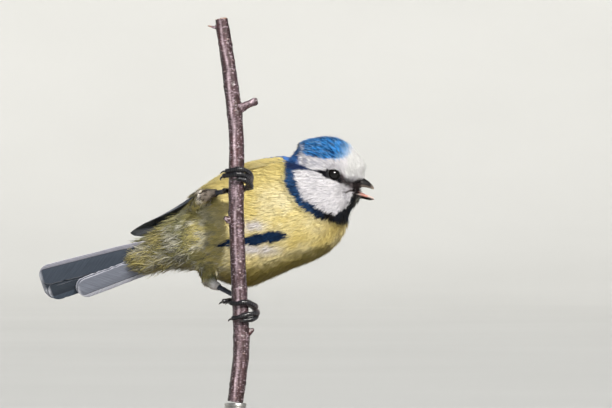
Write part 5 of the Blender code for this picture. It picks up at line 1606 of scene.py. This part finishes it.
def make_bristles():
    """Short dark bristles round the base of the bill, lying forward along it."""
    points, normals = scatter(90000, 130)
    gx, gy = on_grid(points)
    side = points[:, 1] - BODY_Y
    root = (gx > 350.8) & (gx < 358.5) & (gy > 177) & (gy < 193) & (np.abs(side) < 3.9) & (normals[:, 0] > -0.3)
    points, normals = points[root], normals[root]
    n = len(points)
    rng = np.random.default_rng(131)
    side = points[:, 1] - BODY_Y
    way = unit(HEAD_F * 1.0 - DEPTH * (0.30 * side / 3)[:, None] + normals * 0.10 + rng.normal(0, 0.16, (n, 3)))
    length = rng.uniform(1.0, 2.3, n)
    rows = np.array([points - normals * 0.05 + way * (length * u)[:, None] + normals * (0.22 * math.sin(math.pi * 0.55 * u)) for u in (0, 1 / 3, 2 / 3, 1)])
    across = np.repeat(unit(np.cross(way, normals))[None], 4, 0)
    tone = blend(np.tile(srgb(26, 20, 22), (n, 1)), srgb(120, 106, 106), np.clip(rng.normal(-0.2, 0.35, n), 0, 0.8))
    loose_plumes("coat_bristles", rows, None, across, rng.uniform(0.09, 0.15, n), tone, head_unwrap(points), PLUME)


make_bristles()


def make_heels():
    """The ends of the leg tufts, lying down over the top of each tarsus."""
    rows_, across_, widths, tones, at = [], [], [], [], []
    for name, n in (("right", 1500), ("left", 1300)):
        rng = np.random.default_rng(140 + n)
        knee, heel = LEGS[name]
        ankle = round_twig(30, 5.3, 187.5 if name == "right" else 304.5)
        ahead = unit(ankle - heel)
        line = through([heel + (knee - heel) * 0.42, heel + (knee - heel) * 0.2, heel, heel + ahead * 2.0, heel + ahead * (4.4 if name == "right" else 3.2)], 80)
        tangent = unit(np.gradient(line, axis=0))
        first = unit(np.cross(tangent, [0.2, 0.35, 0.9]))
        second = np.cross(tangent, first)
        turn, start = rng.uniform(0, 2 * math.pi, n), rng.uniform(0, 0.74, n)
        high = rng.uniform(0.05, 0.35, n)
        stray = rng.normal(0, 0.10, n)
        places, outs = [], []
        for u in (0, 1 / 3, 2 / 3, 1):
            share = np.minimum(start + 0.30 * u, 1) * 79
            i = np.minimum(share.astype(int), 78)
            t = (share - i)[:, None]
            angle = turn + stray * u
            out = (first[i] * (1 - t) + first[i + 1] * t) * np.cos(angle)[:, None] + (second[i] * (1 - t) + second[i + 1] * t) * np.sin(angle)[:, None]
            radius = np.interp(share / 79, [0, 0.3, 0.55, 0.8, 1], [2.1, 1.95, 1.6, 1.2, 0.9] if name == "right" else [1.75, 1.7, 1.5, 1.15, 0.85]) + high * u**0.7
            places.append(line[i] * (1 - t) + line[i + 1] * t + out * radius[:, None])
            outs.append(out)
        places, outs = np.array(places), np.array(outs)
        rows_.append(places)
        across_.append(unit(np.cross(outs, unit(np.gradient(places, axis=0)))))
        widths.append(rng.uniform(0.18, 0.34, n))
        mottle = np.clip(0.5 + 1.2 * noise(places[0], 1.0, 141) + rng.normal(0, 0.2, n), 0, 1)
        if name == "right":
            tone = blend(blend(np.tile(srgb(206, 190, 174), (n, 1)), srgb(82, 70, 62), np.clip(1.5 * mottle - 0.25, 0, 1)), YELLOW * 0.8, (1 - ease(0, 0.25, start)) * 0.8)
        else:
            tone = blend(np.tile(srgb(252, 248, 246), (n, 1)), srgb(206, 192, 184), mottle * 0.6)
            tone = blend(MOSS * np.ones((n, 1)), tone, ease(0.18, 0.46, start + 0.08 * rng.normal(0, 1, n)))
        tones.append(tone)
        at.append(body_unwrap(places[0]))
    loose_plumes("coat_heels", np.concatenate(rows_, 1), None, np.concatenate(across_, 1), np.concatenate(widths), np.concatenate(tones), np.concatenate(at), PLUME)


make_heels()
